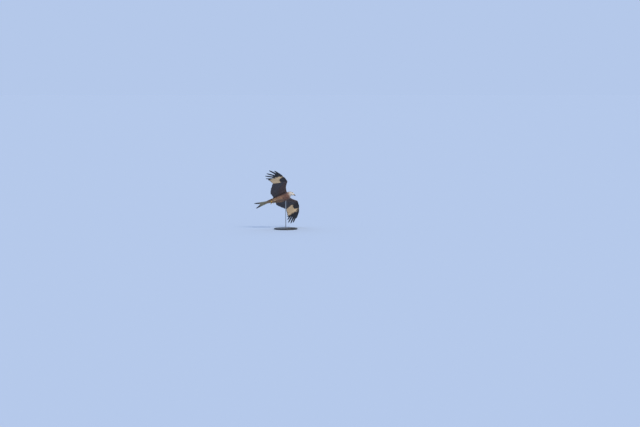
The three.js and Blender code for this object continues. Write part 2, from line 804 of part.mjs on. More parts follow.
function foot(mirror) {
  const flip = (p) => at(p[0], mirror * p[1], p[2]);
  const [from, to] = [flip(TARSUS.from), flip(TARSUS.to)];
  const pieces = [limb([from, from.clone().lerp(to, 0.5), to], TARSUS.radii, TOE_SIDES, at(0, 1, 0))];
  const claws = {};
  for (const toe of TOES) {
    const turn = rad(toe.turn * mirror);
    const level = at(-Math.cos(turn), -Math.sin(turn), 0);
    const left = at(Math.sin(turn), -Math.cos(turn), 0);
    const run = curlPoints(to, level, toe.length, toe.lean, toe.curl);
    const radii = TOE_SHAPE.map((share) => share * toe.radius);
    pieces.push(limb(run, radii, TOE_SIDES, left));
    const lean = toe.lean + toe.curl;
    const tip = run[CURL_STEPS].clone().addScaledVector(level, 2 * GAP * Math.cos(rad(lean)));
    tip.z -= 2 * GAP * Math.sin(rad(lean));
    const claw = curlPoints(tip, level, toe.claw, lean, CLAW_CURL);
    claws[toe.name] = limb(claw, CLAW_RADII, CLAW_SIDES, left);
  }
  return { foot: joined(pieces), claws };
}

function stand(torsoWorld, aim) {
  const profile = [
    [0, 0],
    [BASE_RADIUS, 0],
    [BASE_RADIUS, BASE_HEIGHT - BASE_BEVEL],
    [BASE_RADIUS - BASE_BEVEL, BASE_HEIGHT],
    [0, BASE_HEIGHT],
  ].map(([x, y]) => new THREE.Vector2(x, y));
  const base = new THREE.LatheGeometry(profile, BASE_SIDES).rotateX(rad(90));
  const length = aim.z - BASE_HEIGHT - GAP;
  const shaft = new THREE.CylinderGeometry(ROD_RADIUS, ROD_RADIUS, length, ROD_SIDES).rotateX(rad(90));
  shaft.translate(0, 0, BASE_HEIGHT + GAP + length / 2);
  return { base: solidOf(base), rod: largest(solidOf(shaft).subtract(torsoWorld)) };
}

function mesh(name, solid, finish) {
  const [color, roughness, metalness] = FINISH[finish];
  const material = new THREE.MeshStandardMaterial({ color, roughness, metalness });
  const made = new THREE.Mesh(geometryOf(solid), material);
  made.name = name;
  return made;
}

function build() {
  const object = new THREE.Group();
  const bird = new THREE.Group();
  object.add(bird);
  bird.rotation.order = "ZYX";
  bird.rotation.set(rad(-BANK), rad(-CLIMB), rad(HEADING));
  const aim = at(...ROD_STEP).applyEuler(bird.rotation);
  bird.position.set(-aim.x, -aim.y, SHOULDER_HEIGHT);
  bird.updateMatrix();

  const body = bodyWhole();
  const room = bodyWhole(GAP);
  bird.add(mesh("torso", cutAhead(cutBehind(body, tailCut), NECK_CUTS[0]), "body_plumage"));
  bird.add(mesh("neck", cutAhead(cutBehind(body, NECK_CUTS[0]), NECK_CUTS[1]), "head_plumage"));
  bird.add(mesh("head", head(body), "head_plumage"));
  const beak = bill();
  bird.add(mesh("cere", beak.cere, "cere_skin"));
  bird.add(mesh("bill_upper", beak.upper, "bill_horn"));
  bird.add(mesh("bill_lower", beak.lower, "bill_horn"));
  bird.add(mesh("tail", tail(body), "tail_feathers"));
  for (const [side, mirror] of [
    ["left", 1],
    ["right", -1],
  ]) {
    bird.add(mesh("eye_" + side, ball(eyeCentre(mirror), EYE.radius), "eye"));
    const { arm, hand } = wing(side, room);
    bird.add(mesh("wing_" + side + "_arm", arm, "flight_feathers"));
    bird.add(mesh("wing_" + side + "_hand", hand, "flight_feathers"));
    bird.add(mesh("leg_" + side, thigh(mirror, room), "body_plumage"));
    const made = foot(mirror);
    bird.add(mesh("foot_" + side, made.foot, "foot_skin"));
    for (const [toe, claw] of Object.entries(made.claws)) {
      bird.add(mesh("claw_" + side + "_" + toe, claw, "claw_horn"));
    }
  }
  const torsoRoom = solidOf(geometryOf(room).applyMatrix4(bird.matrix));
  const { base, rod } = stand(torsoRoom, aim.clone().setZ(aim.z + SHOULDER_HEIGHT));
  object.add(mesh("stand_base", base, "stand_base"));
  object.add(mesh("stand_rod", rod, "stand_rod"));
  return object;
}

export default build();
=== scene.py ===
# A life-size red kite in gliding flight, banked to its left on a plain display stand.
# Sizes are in millimetres and degrees in the bird's own level frame, +X forward, +Y to its left and +Z up,
# from a point midway between its shoulders. Each piece is turned into its bank, in metres, as it is made.
import itertools
import math

import bmesh
import bpy
import numpy as np
from mathutils import Euler, Matrix, Vector


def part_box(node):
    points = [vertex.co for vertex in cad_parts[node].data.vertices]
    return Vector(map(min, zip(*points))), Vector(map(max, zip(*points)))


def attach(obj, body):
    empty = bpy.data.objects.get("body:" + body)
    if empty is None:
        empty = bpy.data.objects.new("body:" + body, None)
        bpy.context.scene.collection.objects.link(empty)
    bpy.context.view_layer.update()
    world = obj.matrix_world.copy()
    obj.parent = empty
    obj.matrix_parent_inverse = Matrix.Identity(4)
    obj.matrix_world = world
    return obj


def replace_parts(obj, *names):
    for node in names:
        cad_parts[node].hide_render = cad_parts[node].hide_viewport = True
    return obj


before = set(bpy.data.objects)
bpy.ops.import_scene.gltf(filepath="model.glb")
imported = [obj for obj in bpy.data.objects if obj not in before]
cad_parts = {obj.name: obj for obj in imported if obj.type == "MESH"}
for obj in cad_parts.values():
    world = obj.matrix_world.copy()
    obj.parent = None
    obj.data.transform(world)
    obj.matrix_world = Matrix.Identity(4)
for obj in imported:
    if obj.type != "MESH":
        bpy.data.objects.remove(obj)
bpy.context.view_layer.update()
draws = np.random.default_rng(23)

MM = 0.001
SIDES = {"left": 1, "right": -1}

# How the bird is held
BANK = 41
CLIMB = 19.5
HEADING = -1.8
SHOULDER_HEIGHT = 482
ROD_AIM = np.array((-14.0, 28.0, -24.0))
# The stand's rounded edges, the turns of its rim, its plain middle and how far the rod runs on, in metres
STAND = {"rim": 0.004, "foot_rim": 0.0015, "turns": (1.2, 0.9, 0.6, 0.3, 0), "middle": 0.03, "sunk": 0.004}

# The camera: how far below the horizon it looks, how far off it is, how wide its view is at the bird, and
# where its middle lies from the bird's shoulders, to the right and up, in metres
CAMERA_DROP = 4.0
CAMERA_FAR = 25.0
VIEW_WIDE = 9.027
VIEW_MIDDLE = (0.4829, -0.2575)
VIEW_END = 2000
SENSOR = 36.0
FLOOR_HALF = 600

# Body stations from the tail root to the face: x, y, z, pitch, yaw, half width, height above, depth below
BODY_LINE = (
    (-262, 0, -6, 0, 0, 8, 4, 5),
    (-226, 0, -8, 0, 0, 18, 9, 12),
    (-190, 0, -11, 0, 0, 27, 15, 19),
    (-150, 0, -15, 0, 0, 37, 24, 28),
    (-110, 0, -19, 0, 0, 46, 33, 37),
    (-70, 0, -22, 0, 0, 53, 41, 45),
    (-30, 0, -24, 0, 0, 58, 47, 50),
    (8, 0, -22, 2, 0, 57, 47, 51),
    (34, 0, -15, 6, 0, 50, 43, 46),
    (52, 0, -8, 4, 0, 41, 37, 38),
    (66, 0, -3, -6, 2, 32, 31, 30),
    (77, 1, -3, -21, 8, 26.5, 27, 25),
    (88, 4, -10, -37, 16, 24.5, 23.5, 21.5),
    (97, 7, -17.5, -40, 18, 20.5, 18.5, 17.5),
    (105, 9.5, -24, -40, 18, 14.5, 13, 13),
    (110.5, 11.3, -28.6, -40, 18, 10, 9.2, 9.6),
)
# Body feathers by distance behind the bill: row spacing, length, width, and how deep the skin lies
PLUMAGE = (
    (0, 1.5, 3.8, 1.9, 0.7),
    (12, 1.9, 5.6, 2.3, 1.2),
    (26, 2.4, 9, 2.8, 1.8),
    (44, 3.4, 15, 3.8, 3.2),
    (66, 5.0, 22, 5.9, 4.6),
    (110, 7.0, 28, 9.6, 5.4),
    (240, 8.0, 33, 12, 5.6),
    (320, 7.8, 37, 11.5, 4.8),
    (395, 7.0, 36, 9, 2.5),
)
# Their first row, how far before the tail's end they stop, where the fine and the narrow ones end, and the
# room they leave round each eye
BODY_ROWS = {"start": 0.4, "end": 50, "fine_until": 62, "narrow_until": 80, "eye_clear": 7.6}
SKIN_VOXEL = 0.0026

# Head, in a frame of its own: forward along the bill, left, and up
HEAD_ORIGIN = np.array((88.0, 4.0, -10.0))
HEAD_PITCH = 40
HEAD_YAW = 18
EYE_PLACE = (9, 15.6, 3.6)
EYE_RADIUS = 7.2
EYE_AXIS = (0.32, 0.95, 0.0)
CORNEA = {"high": 0.7, "radius": 3.6}
# Rings of the lids: radius, half thickness, and how far out from the eye's middle
LID_RINGS = ((6.0, 0.75, 3.9), (7.1, 0.8, 3.1))
# Swellings and hollows of the head: forward, left, up, their spreads each way, and how far they stand out
RELIEF = (
    (11, 18.5, 10.4, 8.5, 6, 2.3, 4.4),
    (9, 18, 3.4, 6.0, 7, 4.6, -1.8),
    (21, 12, 5, 5.0, 5, 4.0, -0.8),
    (2, 21, -6, 8.0, 8, 6.0, 0.9),
)
# The fleshy edge of the mouth: how far behind the face it starts and ends, its levels there, and its size
GAPE = {"behind": (-1.5, 13), "level": (-2.7, -4.4), "radius": 0.62}
# Both halves of the bill: forward, up, pitch down, half width and half height
UPPER_BILL = (
    (30.6, 3.4, 0, 9.4, 5.2),
    (36, 3.0, -3, 8.0, 5.0),
    (42, 2.4, -8, 6.6, 4.6),
    (48, 1.0, -18, 5.2, 4.0),
    (53.6, -1.8, -36, 3.9, 3.2),
    (57.6, -5.8, -56, 2.7, 2.4),
    (59.6, -10.2, -72, 1.6, 1.5),
    (60.4, -14.2, -80, 0.4, 0.4),
)
LOWER_BILL = (
    (30.6, -4.6, 0, 7.4, 2.8),
    (36, -4.7, 2, 6.2, 2.6),
    (41, -5.0, 5, 5.1, 2.3),
    (46, -5.5, 9, 3.9, 1.9),
    (50, -6.2, 14, 2.4, 1.3),
    (52.6, -6.9, 20, 0.7, 0.4),
)
CERE_SHARE = 0.2  # how much of the upper bill's run the cere covers
NOSTRIL = {"at": (35.0, 7.7, 4.9), "spread": (1.7, 2.6, 0.95), "deep": 2.4}

# Wings, drawn in plan for the left side: x forward, y outward
SHOULDER = (0, 38)
WRIST = (94, 264)
SWING = {"left": 3, "right": -2}
HAND_TURN = {"left": -0.5, "right": 2}
ARCH = ((30, 6), (70, 8), (150, 18), (245, 24), (350, 15), (460, 0), (560, -9), (680, -14))
CAMBER = 0.00009
LEADING_EDGE = (
    *((34, 34), (71, 35), (115, 43), (160, 58), (205, 83), (235, 101)),
    *((250, 106), (300, 102), (340, 97), (362, 91), (384, 83)),
)
REAR_EDGE = (
    *((30, -104), (62, -92), (105, -68), (150, -46), (178, -18)),
    *((205, 20), (235, 62), (262, 82), (382, 76)),
)
WING_THICK = (
    *((30, 33), (62, 28), (105, 21), (150, 16), (178, 14)),
    *((205, 13), (262, 11), (315, 9), (350, 7), (382, 3)),
)
FLESH_SHARES = (0, 0.06, 0.28, 0.65, 1, 1.7)
FLESH_HALVES = (0.03, 0.3, 0.49, 0.4, 0.17, 0)
VANE_COVER = 1.5  # how far the coverts stand off the flight feathers they lie on
WING_SKIN_DEEP = 2.6
# Where the flesh of arm and hand starts and ends along the wing, and its sections
FLESH_SPANS = ((26, 266, 24), (256, 380, 14))

# Flight feathers, counted outward: where the first and last grow, their angles and their lengths
PRIMARY_ROOTS = ((94, 264), (81, 361))
PRIMARY_ANGLES = {
    "left": (24.5, 27.5, 31, 34.5, 38, 41.5, 46.5, 52.5, 58.5, 63.5),
    "right": (24.5, 27.5, 30.5, 33.5, 36.5, 39.5, 48.5, 56, 64.5, 71.5),
}
PRIMARY_LENGTHS = (212, 220, 230, 244, 266, 306, 342, 342, 330, 240)
PRIMARY_BOWS = (0.03, 0.03, 0.03, 0.03, 0.04, 0.05, 0.06, 0.08, 0.11, 0.16)
PRIMARY_DROPS = (0, 0, 0, 2, 4, 8, 12, 12, -2, -9)
PALE_ENDS = (0.94, 0.94, 0.93, 0.92, 0.87, 0.67, 0.46, 0.34, 0.26, 0.17)  # where each turns dark below
FIRST_FINGER = 5
FINGER_WIDE = {"left": 1.16, "right": 1.0}
# Secondaries and tertials
ARM_FLIGHTS = (
    {"roots": ((88, 252), (-8, 180)), "angles": (21.5, -9), "lengths": (193, 177), "count": 12},
    {"roots": ((-15, 170), (-38, 82)), "angles": (-12, -20), "lengths": (174, 140), "count": 6},
)
ARM_BOW = 0.03
ALULA = {
    "root": (95, 270),
    "angles": (79, 73, 66, 58),
    "lengths": (98, 84, 68, 50),
    "heights": (3.5, 7),
    "step": 0.9,
    "bow": 0.08,
}
FLIGHT_TILT = 3.2
FLIGHT_RAG = 0.05
FLIGHT_HALF_THICK = 0.25
SHAFT = {"wing": 1.5, "tail": 1.3, "tip": 0.25, "half": 1.4}

# Outlines of single feathers: share along, then outer and inner web in millimetres
FINGER_WEB = (
    *((0, 3, 5), (0.1, 8, 15), (0.3, 10.5, 26), (0.5, 11.5, 28.5), (0.58, 9.6, 23)),
    *((0.66, 8, 17.5), (0.82, 7.6, 15), (0.92, 6.2, 11.5), (0.975, 3.8, 7.2), (1, 0.5, 1.2)),
)
PRIMARY_WEB = (
    *((0, 3, 5), (0.12, 9, 17), (0.4, 13, 27), (0.82, 13, 26)),
    *((0.93, 9.5, 19), (0.985, 4, 9), (1, 0.6, 2)),
)
SECONDARY_WEB = (
    *((0, 3, 5), (0.12, 9, 16), (0.4, 13, 25), (0.88, 13, 25)),
    *((0.96, 10, 20), (0.99, 5, 11), (1, 1, 3)),
)
ALULA_WEB = ((0, 2, 3), (0.2, 5, 8), (0.6, 6.5, 11), (0.85, 5, 8), (0.97, 2.4, 4), (1, 0.4, 0.6))
TAIL_WEB = (
    *((0, 2.5, 3), (0.12, 5.5, 10), (0.4, 8.5, 18), (0.8, 9.5, 20)),
    *((0.94, 8, 15), (0.99, 3.5, 6), (1, 1, 1.5)),
)
# Outlines of small feathers: share along, and share of half the width
ROUND_WEB = ((0, 0.2), (0.2, 0.62), (0.5, 0.98), (0.76, 0.97), (0.92, 0.66), (1, 0.08))
HEAD_WEB = ((0, 0.3), (0.3, 0.9), (0.6, 0.95), (0.85, 0.62), (0.96, 0.3), (1, 0.06))
# How small feathers lie: how early they rise, how far their edges droop, and half their thickness
LIE = {
    "wing": (0.55, 0.045, 0.12),
    "seam": (0.7, 0.06, 0.16),
    "limb": (0.6, 0.05, 0.15),
    "tail": (0.7, 0.05, 0.16),
}
BODY_RAG = 0.1
SHADE = 0.12

# Covert rows: place between the leading edge and the rear of the flesh, as a share, length and width
ARM_ROWS = (
    *((0.0, 9, 6), (0.06, 11, 7.5), (0.13, 13, 8.5), (0.21, 15, 10), (0.3, 17, 11), (0.4, 20, 12)),
    *((0.51, 23, 13), (0.62, 26, 14), (0.74, 31, 15.5), (0.86, 40, 17), (0.94, 58, 18.5), (0.99, 88, 20)),
)
HAND_ROWS = (
    *((0.0, 9, 6), (0.12, 12, 7), (0.28, 16, 8.5), (0.46, 22, 10)),
    *((0.62, 34, 12), (0.76, 58, 14), (0.86, 92, 16), (0.93, 134, 18)),
)
ARM_SPAN = (34, 262)
HAND_SPAN = (264, 380)
HAND_SLIM = ((34, 1), (200, 1), (262, 0.86), (300, 0.92), (340, 0.78), (382, 0.55))
# How long a covert may be at each place along the wing
COVERT_REACH = (
    *((34, 200), (262, 200), (263, 97), (275, 106), (290, 114), (308, 110)),
    *((318, 104), (329, 74), (340, 53), (350, 38), (361, 27), (382, 16)),
)
COVERT_ANGLE = ((40, -9), (120, -7), (180, -3), (240, 14), (264, 25), (300, 37), (340, 53), (382, 68))
ROW_SPACING = 0.56  # of a feather's width
# Tiny feathers wrapped round the leading edge of arm and hand
EDGE = {"length": 13, "width": 4.6, "round": 78, "gap": 3.4, "half_thick": 0.16}
EDGE_SPANS = ((36, 262), (262, 376))

# Feathers that close the seam between body and wing, above and below: face, x of the first and last roots,
# y of the first row, rows, feathers in each, and the shortest and longest
SEAM_TRACTS = (
    {"face": 1, "ends": (38, -62), "near": 22, "rows": 7, "count": 18, "lengths": (18, 66)},
    {"face": -1, "ends": (34, -78), "near": 32, "rows": 7, "count": 18, "lengths": (18, 74)},
)
SEAM_STEP = 6.4
SEAM_SOFT = 5.0

# Tail
TAIL_YAW = 3.2
TAIL_PIVOT = -170
TAIL_PAIRS = 6
TAIL_ROOT = (-178, 1.7, -7.5)
TAIL_TIPS = {"inner": (-388, 9), "outer": (-458, 60), "curve": 1.55, "fork": 1.25}
TAIL_LAYER = 1.0
# Rows above and below: x of the roots, half the row's spread, and the feathers' length
TAIL_COVERTS = {
    1: ((-150, 25, 60), (-166, 24, 64), (-182, 22, 70), (-196, 19, 82), (-206, 16, 90)),
    -1: ((-158, 25, 66), (-174, 23, 76), (-190, 20, 88), (-204, 18, 100), (-214, 16, 106)),
}
TAIL_COVERT_COUNT = 9
TAIL_COVERT_HALF = 8

# Legs: stations of the thigh and of the loose feathers that lie on over the tarsus to the toes, as x, y, z,
# half width and half height, and the rows of feathers on them
THIGH = {
    "stations": (
        *((-42, 28, -46, 9, 10), (-62, 31, -48, 15, 16), (-88, 31, -48, 17, 17)),
        *((-116, 28, -46, 13, 13), (-140, 24, -45, 8, 8), (-153, 22, -44.5, 5.5, 5.5)),
    ),
    "rows": 13,
    "first": 0.02,
    "step": 0.072,
    "deep": 3.0,
    "lengths": (27, 30),
    "widths": (10, 8),
    "wander": 0.15,
    "vary": 0.1,
    "streak": "belly_streak",
    "map": (0.05, 0.95),
}
TROUSERS = {
    "stations": (
        *((-140, 24, -44, 10, 10), (-165, 19.5, -41, 10, 9)),
        *((-190, 15, -37, 9, 7.5), (-214, 12, -33.5, 6.5, 5.5)),
    ),
    "rows": 8,
    "step": 0.0775,
    "count": 15,
    "deep": 4.5,
    "lengths": (34, 40),
    "widths": (10, 10),
    "wander": 0.2,
    "vary": 0.12,
    "streak": "vent_streak",
    "map": (0.9, 1.0),
}
TARSUS = {
    "from": (-150, 22, -44.6),
    "to": (-203, 13, -33.5),
    "radii": ((0, 4.7), (0.2, 4.0), (0.6, 3.7), (1, 4.6)),
    "scutes": 14,
}
TOES = (
    {"name": "inner", "turn": 13, "length": 25, "radius": 2.7, "claw": 17, "lean": -4, "curl": 30},
    {"name": "middle", "turn": -3, "length": 38, "radius": 2.9, "claw": 16, "lean": -6, "curl": 30},
    {"name": "outer", "turn": -21, "length": 28, "radius": 2.6, "claw": 13, "lean": -4, "curl": 30},
    {"name": "hind", "turn": 180, "length": 15, "radius": 2.8, "claw": 17, "lean": 52, "curl": 20},
)
SCUTE_LONG = 3.2
CLAW_CURL = 75
CLAW_RADII = ((0, 2.45), (0.35, 1.95), (0.7, 1.25), (1, 0.15))


def paint(code):
    """A colour from its six-digit code, as linear light"""
    parts = [int(code[i : i + 2], 16) / 255 for i in (0, 2, 4)]
    return np.array([c / 12.92 if c <= 0.04045 else ((c + 0.055) / 1.055) ** 2.4 for c in parts])


def mix(a, b, t):
    return a + (b - a) * t


# Each kind of feather has the colour of its edge and, where it has one of its own, that of its streak
CODES = {
    "crown": "c4b9a7",
    "crown_streak": "3f372f",
    "face": "d9cfbf",
    "face_streak": "9a9186",
    "nape": "a08a70",
    "nape_streak": "35271d",
    "mantle": "79523a",
    "mantle_streak": "2a1e18",
    "rump": "8c5a3c",
    "breast": "6e4c3e",
    "breast_streak": "2a1d1b",
    "belly": "8e6b53",
    "belly_streak": "4a3226",
    "vent": "998062",
    "vent_streak": "785641",
    "primary_pale": "e7c291",
    "primary_dark": "14151b",
    "primary_bar": "8a7762",
    "flight_under": "433e42",
    "flight_under_bar": "292729",
    "flight_upper": "3a2d25",
    "flight_upper_bar": "241c18",
    "under_lesser": "5a4742",
    "under_lesser_streak": "231b1d",
    "under_greater": "4a474b",
    "under_greater_streak": "262122",
    "carpal": "241f20",
    "upper_lesser": "7d5135",
    "upper_lesser_streak": "2b1f19",
    "upper_pale": "b08357",
    "upper_pale_streak": "4b3426",
    "tail_upper": "a0623f",
    "tail_under": "968d70",
    "tail_dark": "2c2624",
    "tail_tip": "cdb699",
}
COLOURS = {name: paint(code) for name, code in CODES.items()}
COLOURS["throat"] = mix(COLOURS["face"], COLOURS["breast"], 0.4)
COLOURS["throat_streak"] = COLOURS["breast_streak"]
COLOURS["rump_streak"] = COLOURS["mantle_streak"]
# The body's colours from the bill back, and between which distances each takes over from the last
BODY_TINTS = {
    "below": (("face",), ("throat", 30, 58), ("breast", 54, 90), ("belly", 110, 200), ("vent", 230, 310)),
    "above": (("crown",), ("nape", 30, 58), ("mantle", 54, 90), ("rump", 230, 300)),
}
BAR_SOFT = 0.25  # how soft the edges of a bar are, as a share of the gap between bars

BACKDROP = paint("b4c8ea")
# The lights: name, the way it shines, strength, softness and colour
SUNS = (
    ("key", (-0.45, 0.6, -0.62), 2.2, 14, (1.0, 0.93, 0.84)),
    ("side", (-0.6, 0.8, -0.03), 0.5, 50, (1.0, 0.94, 0.86)),
)


def fade(low, high, s):
    """Goes smoothly from 0 at low to 1 at high"""
    t = np.clip((s - low) / (high - low), 0, 1)
    return t * t * (3 - 2 * t)


def circle_turns(sides):
    return np.linspace(0, 2 * math.pi, sides, endpoint=False)


def smooth_at(pairs, s, column=1):
    """The value at s of a smooth curve through rows of a place and values"""
    table = np.asarray(pairs, float)
    places, values = table[:, 0], table[:, column]
    last = len(places) - 1
    low = np.maximum(np.arange(last + 1) - 1, 0)
    high = np.minimum(np.arange(last + 1) + 1, last)
    slope = (values[high] - values[low]) / (places[high] - places[low])
    i = np.clip(np.searchsorted(places, s) - 1, 0, last - 1)
    wide = places[i + 1] - places[i]
    t = np.clip((s - places[i]) / wide, 0, 1)
    rise = values[i + 1] - values[i]
    a = slope[i] * wide - rise
    b = rise - slope[i + 1] * wide
    return values[i] + rise * t + t * (1 - t) * (a * (1 - t) + b * t)


def axes_of(pitch, yaw):
    """Forward, left and up of a frame that looks along a pitch above the horizon and a yaw to the left"""
    p, w = np.radians(pitch), np.radians(yaw)
    forward = np.stack([np.cos(p) * np.cos(w), np.cos(p) * np.sin(w), np.sin(p)], -1)
    left = np.stack([-np.sin(w), np.cos(w), 0 * w], -1)
    return forward, left, np.cross(forward, left)


ATTITUDE = np.array(Euler([math.radians(a) for a in (-BANK, -CLIMB, HEADING)], "XYZ").to_matrix())
BIRD_PLACE = (0, 0, SHOULDER_HEIGHT) - (ATTITUDE @ ROD_AIM) * (1, 1, 0)
HEAD_AXES = np.array(axes_of(-HEAD_PITCH, HEAD_YAW))


def to_world(points):
    return (np.asarray(points, float) @ ATTITUDE.T + BIRD_PLACE) * MM


def head_point(forward, left, up):
    return HEAD_ORIGIN + np.stack(np.broadcast_arrays(forward, left, up), -1) @ HEAD_AXES


def in_head(points):
    return (points - HEAD_ORIGIN) @ HEAD_AXES.T


# The body's surface, by distance behind the bill and turn from the bird's left up over its back


def body_run():
    """Station numbers from the face back, and how far each lies behind the bill"""
    stations = np.linspace(len(BODY_LINE) - 1, 0, 400)
    line = body_columns(stations)
    steps = np.linalg.norm(np.diff(line[:, :3], axis=0), axis=1)
    return stations, np.concatenate([[0], np.cumsum(steps)])


def columns_at(rows, place, last=1.0):
    """Each column of evenly spaced rows, read as a smooth curve that runs from 0 to last"""
    table = np.column_stack([np.linspace(0, last, len(rows)), np.array(rows, float)])
    return [smooth_at(table, place, c) for c in range(1, table.shape[1])]


def body_columns(station):
    return np.stack(columns_at(BODY_LINE, station, len(BODY_LINE) - 1), -1)


BODY_STATIONS, BODY_BEHIND = body_run()
BODY_LONG = BODY_BEHIND[-1]


def head_relief(points):
    """How far the brow and the other forms of the head stand out at each point"""
    local = in_head(points)
    total = np.zeros(local.shape[:-1])
    for forward, left, up, *spread, out in RELIEF:
        for side in (1, -1):
            gap = (local - (forward, side * left, up)) / spread
            total += out * np.exp(-0.5 * (gap**2).sum(-1))
    return total


def body_surface(behind, turn, out):
    """Points of the body's surface, moved out from it, and how many millimetres one radian of turn is"""
    line = body_columns(np.interp(behind, BODY_BEHIND, BODY_STATIONS))
    forward, left, up = axes_of(line[..., 3], line[..., 4])
    centre = line[..., :3] - forward * np.maximum(behind - BODY_LONG, 0)[..., None]
    across, rise = np.cos(turn), np.sin(turn)
    high = np.where(rise > 0, line[..., 6], line[..., 7])
    half = line[..., 5]
    way = left * across[..., None] + up * rise[..., None]
    bare = centre + left * (half * across)[..., None] + up * (high * rise)[..., None]
    out = out + head_relief(bare) * fade(75, 45, behind)
    return bare + way * np.asarray(out)[..., None], np.hypot(half * rise, high * across)


# The wing's surface, in plan


def wing_height(x, y):
    behind = np.maximum(0, smooth_at(LEADING_EDGE, y) - x)
    return smooth_at(ARCH, y) - CAMBER * behind**2


def flesh_half(x, y):
    """Half the thickness of the wing's flesh at a place in plan"""
    front = smooth_at(LEADING_EDGE, y)
    chord = np.maximum(front - smooth_at(REAR_EDGE, y), 5)
    share = np.interp((front - x) / chord, FLESH_SHARES, FLESH_HALVES)
    return smooth_at(WING_THICK, y) * share


def wing_skin(x, y):
    """How far the coverts' skin lies from the wing's middle, on the flesh or on the flight feathers"""
    return np.maximum(flesh_half(x, y), VANE_COVER)


def swung(x, y, pivot, degrees):
    turn = math.radians(degrees)
    dx, dy = x - pivot[0], y - pivot[1]
    return (
        pivot[0] + dx * math.cos(turn) + dy * math.sin(turn),
        pivot[1] - dx * math.sin(turn) + dy * math.cos(turn),
    )


def arm_place(side):
    def place(x, y, z):
        forward, outward = swung(x, y, SHOULDER, SWING[side])
        return np.stack([forward, SIDES[side] * outward, z], -1)

    return place


def hand_place(side):
    arm = arm_place(side)

    def place(x, y, z):
        return arm(*swung(x, y, WRIST, HAND_TURN[side]), z)

    return place


def tail_place(x, y, z):
    turn = math.radians(TAIL_YAW)
    dx = x - TAIL_PIVOT
    turned = dx * math.sin(turn) + y * math.cos(turn)
    return np.stack([TAIL_PIVOT + dx * math.cos(turn) - y * math.sin(turn), turned, z], -1)


# Feathers


class Vane:
    """A closed vane. Along runs from root to tip, across from the inner edge at -1 to the outer at 1, and
    face is 1 above, -1 below and 0 at the edge."""

    def __init__(self, rows, columns, gather=1.0):
        made = bmesh.new()
        bmesh.ops.create_grid(made, x_segments=rows, y_segments=columns, size=1)
        for vert in made.verts:
            vert.co.z = 0 if vert.is_boundary else 1
        copy = bmesh.ops.duplicate(made, geom=made.verts[:] + made.edges[:] + made.faces[:])["geom"]
        for vert in (g for g in copy if isinstance(g, bmesh.types.BMVert)):
            vert.co.z *= -1
        bmesh.ops.reverse_faces(made, faces=[g for g in copy if isinstance(g, bmesh.types.BMFace)])
        bmesh.ops.remove_doubles(made, verts=made.verts, dist=1e-5)
        made.verts.index_update()
        places = np.array([v.co for v in made.verts])
        self.faces = np.array([[v.index for v in f.verts] for f in made.faces])
        self.under = np.array([f.calc_center_median().z < 0 for f in made.faces])
        made.free()
        self.along = 1 - (1 - (places[:, 0] + 1) / 2) ** 1.5
        self.across = np.sign(places[:, 1]) * np.abs(places[:, 1]) ** gather
        self.face = np.round(places[:, 2])


FLIGHT_VANE = Vane(56, 10, 1.5)
COVERT_VANE = Vane(9, 4, 0.6)
BODY_VANE = Vane(8, 4, 0.6)
SMALL_VANE = Vane(5, 4, 0.6)


class Coat:
    """Feathers gathered into one joined piece, with an edge and a core colour on each face and two maps"""

    def __init__(self, name, vane):
        self.name = name
        self.vane = vane
        self.points, self.colours, self.bakes = [], [], []

    def add(self, points, above, below, bake):
        """Adds one feather. above and below are pairs of an edge and a core colour."""
        self.points.append(points)
        self.colours.append([np.broadcast_to(colour, points.shape) for colour in (*above, *below)])
        self.bakes.append(bake)

    def add_tuft(self, points, edge, core, root_uv):
        """A feather whose bake map is a small patch at its root's place"""
        patch = np.stack([self.vane.across * 0.0015, self.vane.along * 0.003], -1)
        self.add(points, (edge, core), (edge, core), np.clip(np.asarray(root_uv) + patch, 0, 1))

    def finish(self, material, slot):
        count, verts = len(self.points), len(self.vane.along)
        mesh = bpy.data.meshes.new(self.name)
        mesh.vertices.add(count * verts)
        mesh.vertices.foreach_set("co", to_world(np.concatenate(self.points)).astype(np.float32).ravel())
        faces = self.vane.faces
        corners = (faces[None] + np.arange(count)[:, None, None] * verts).reshape(-1, 4)
        mesh.loops.add(corners.size)
        mesh.loops.foreach_set("vertex_index", corners.ravel())
        mesh.polygons.add(len(corners))
        mesh.polygons.foreach_set("loop_start", np.arange(0, corners.size, 4))
        mesh.polygons.foreach_set("use_smooth", np.ones(len(corners), bool))
        mesh.update(calc_edges=True)
        ends = np.empty(len(mesh.edges) * 2, np.int32)
        mesh.edges.foreach_get("vertices", ends)
        rim = (self.vane.face == 0)[ends.reshape(-1, 2) % verts].all(1)
        mesh.edges.foreach_set("use_edge_sharp", rim)
        colours = np.array(self.colours)
        under = self.vane.under[None, :, None, None]
        for name, above, below in (("edge", 0, 2), ("core", 1, 3)):
            solid = np.ones((count, *faces.shape, 4), np.float32)
            solid[..., :3] = np.where(under, colours[:, below][:, faces], colours[:, above][:, faces])
            mesh.color_attributes.new(name, "FLOAT_COLOR", "CORNER").data.foreach_set("color", solid.ravel())
        vane_uv = np.stack([self.vane.across * 0.5 + 0.5, self.vane.along], -1)
        self.set_map(mesh, "Vane", np.tile(vane_uv[faces], (count, 1, 1, 1)))
        self.set_map(mesh, "OFBake", np.array(self.bakes)[:, faces] + self.face_shift())
        return show(bpy.data.objects.new(self.name, mesh), material, slot)

    def face_shift(self):
        """How far the map of an upper face lies from that of the face below it"""
        return 0.0

    @staticmethod
    def set_map(mesh, name, values):
        mesh.uv_layers.new(name=name).data.foreach_set("uv", values.astype(np.float32).ravel())


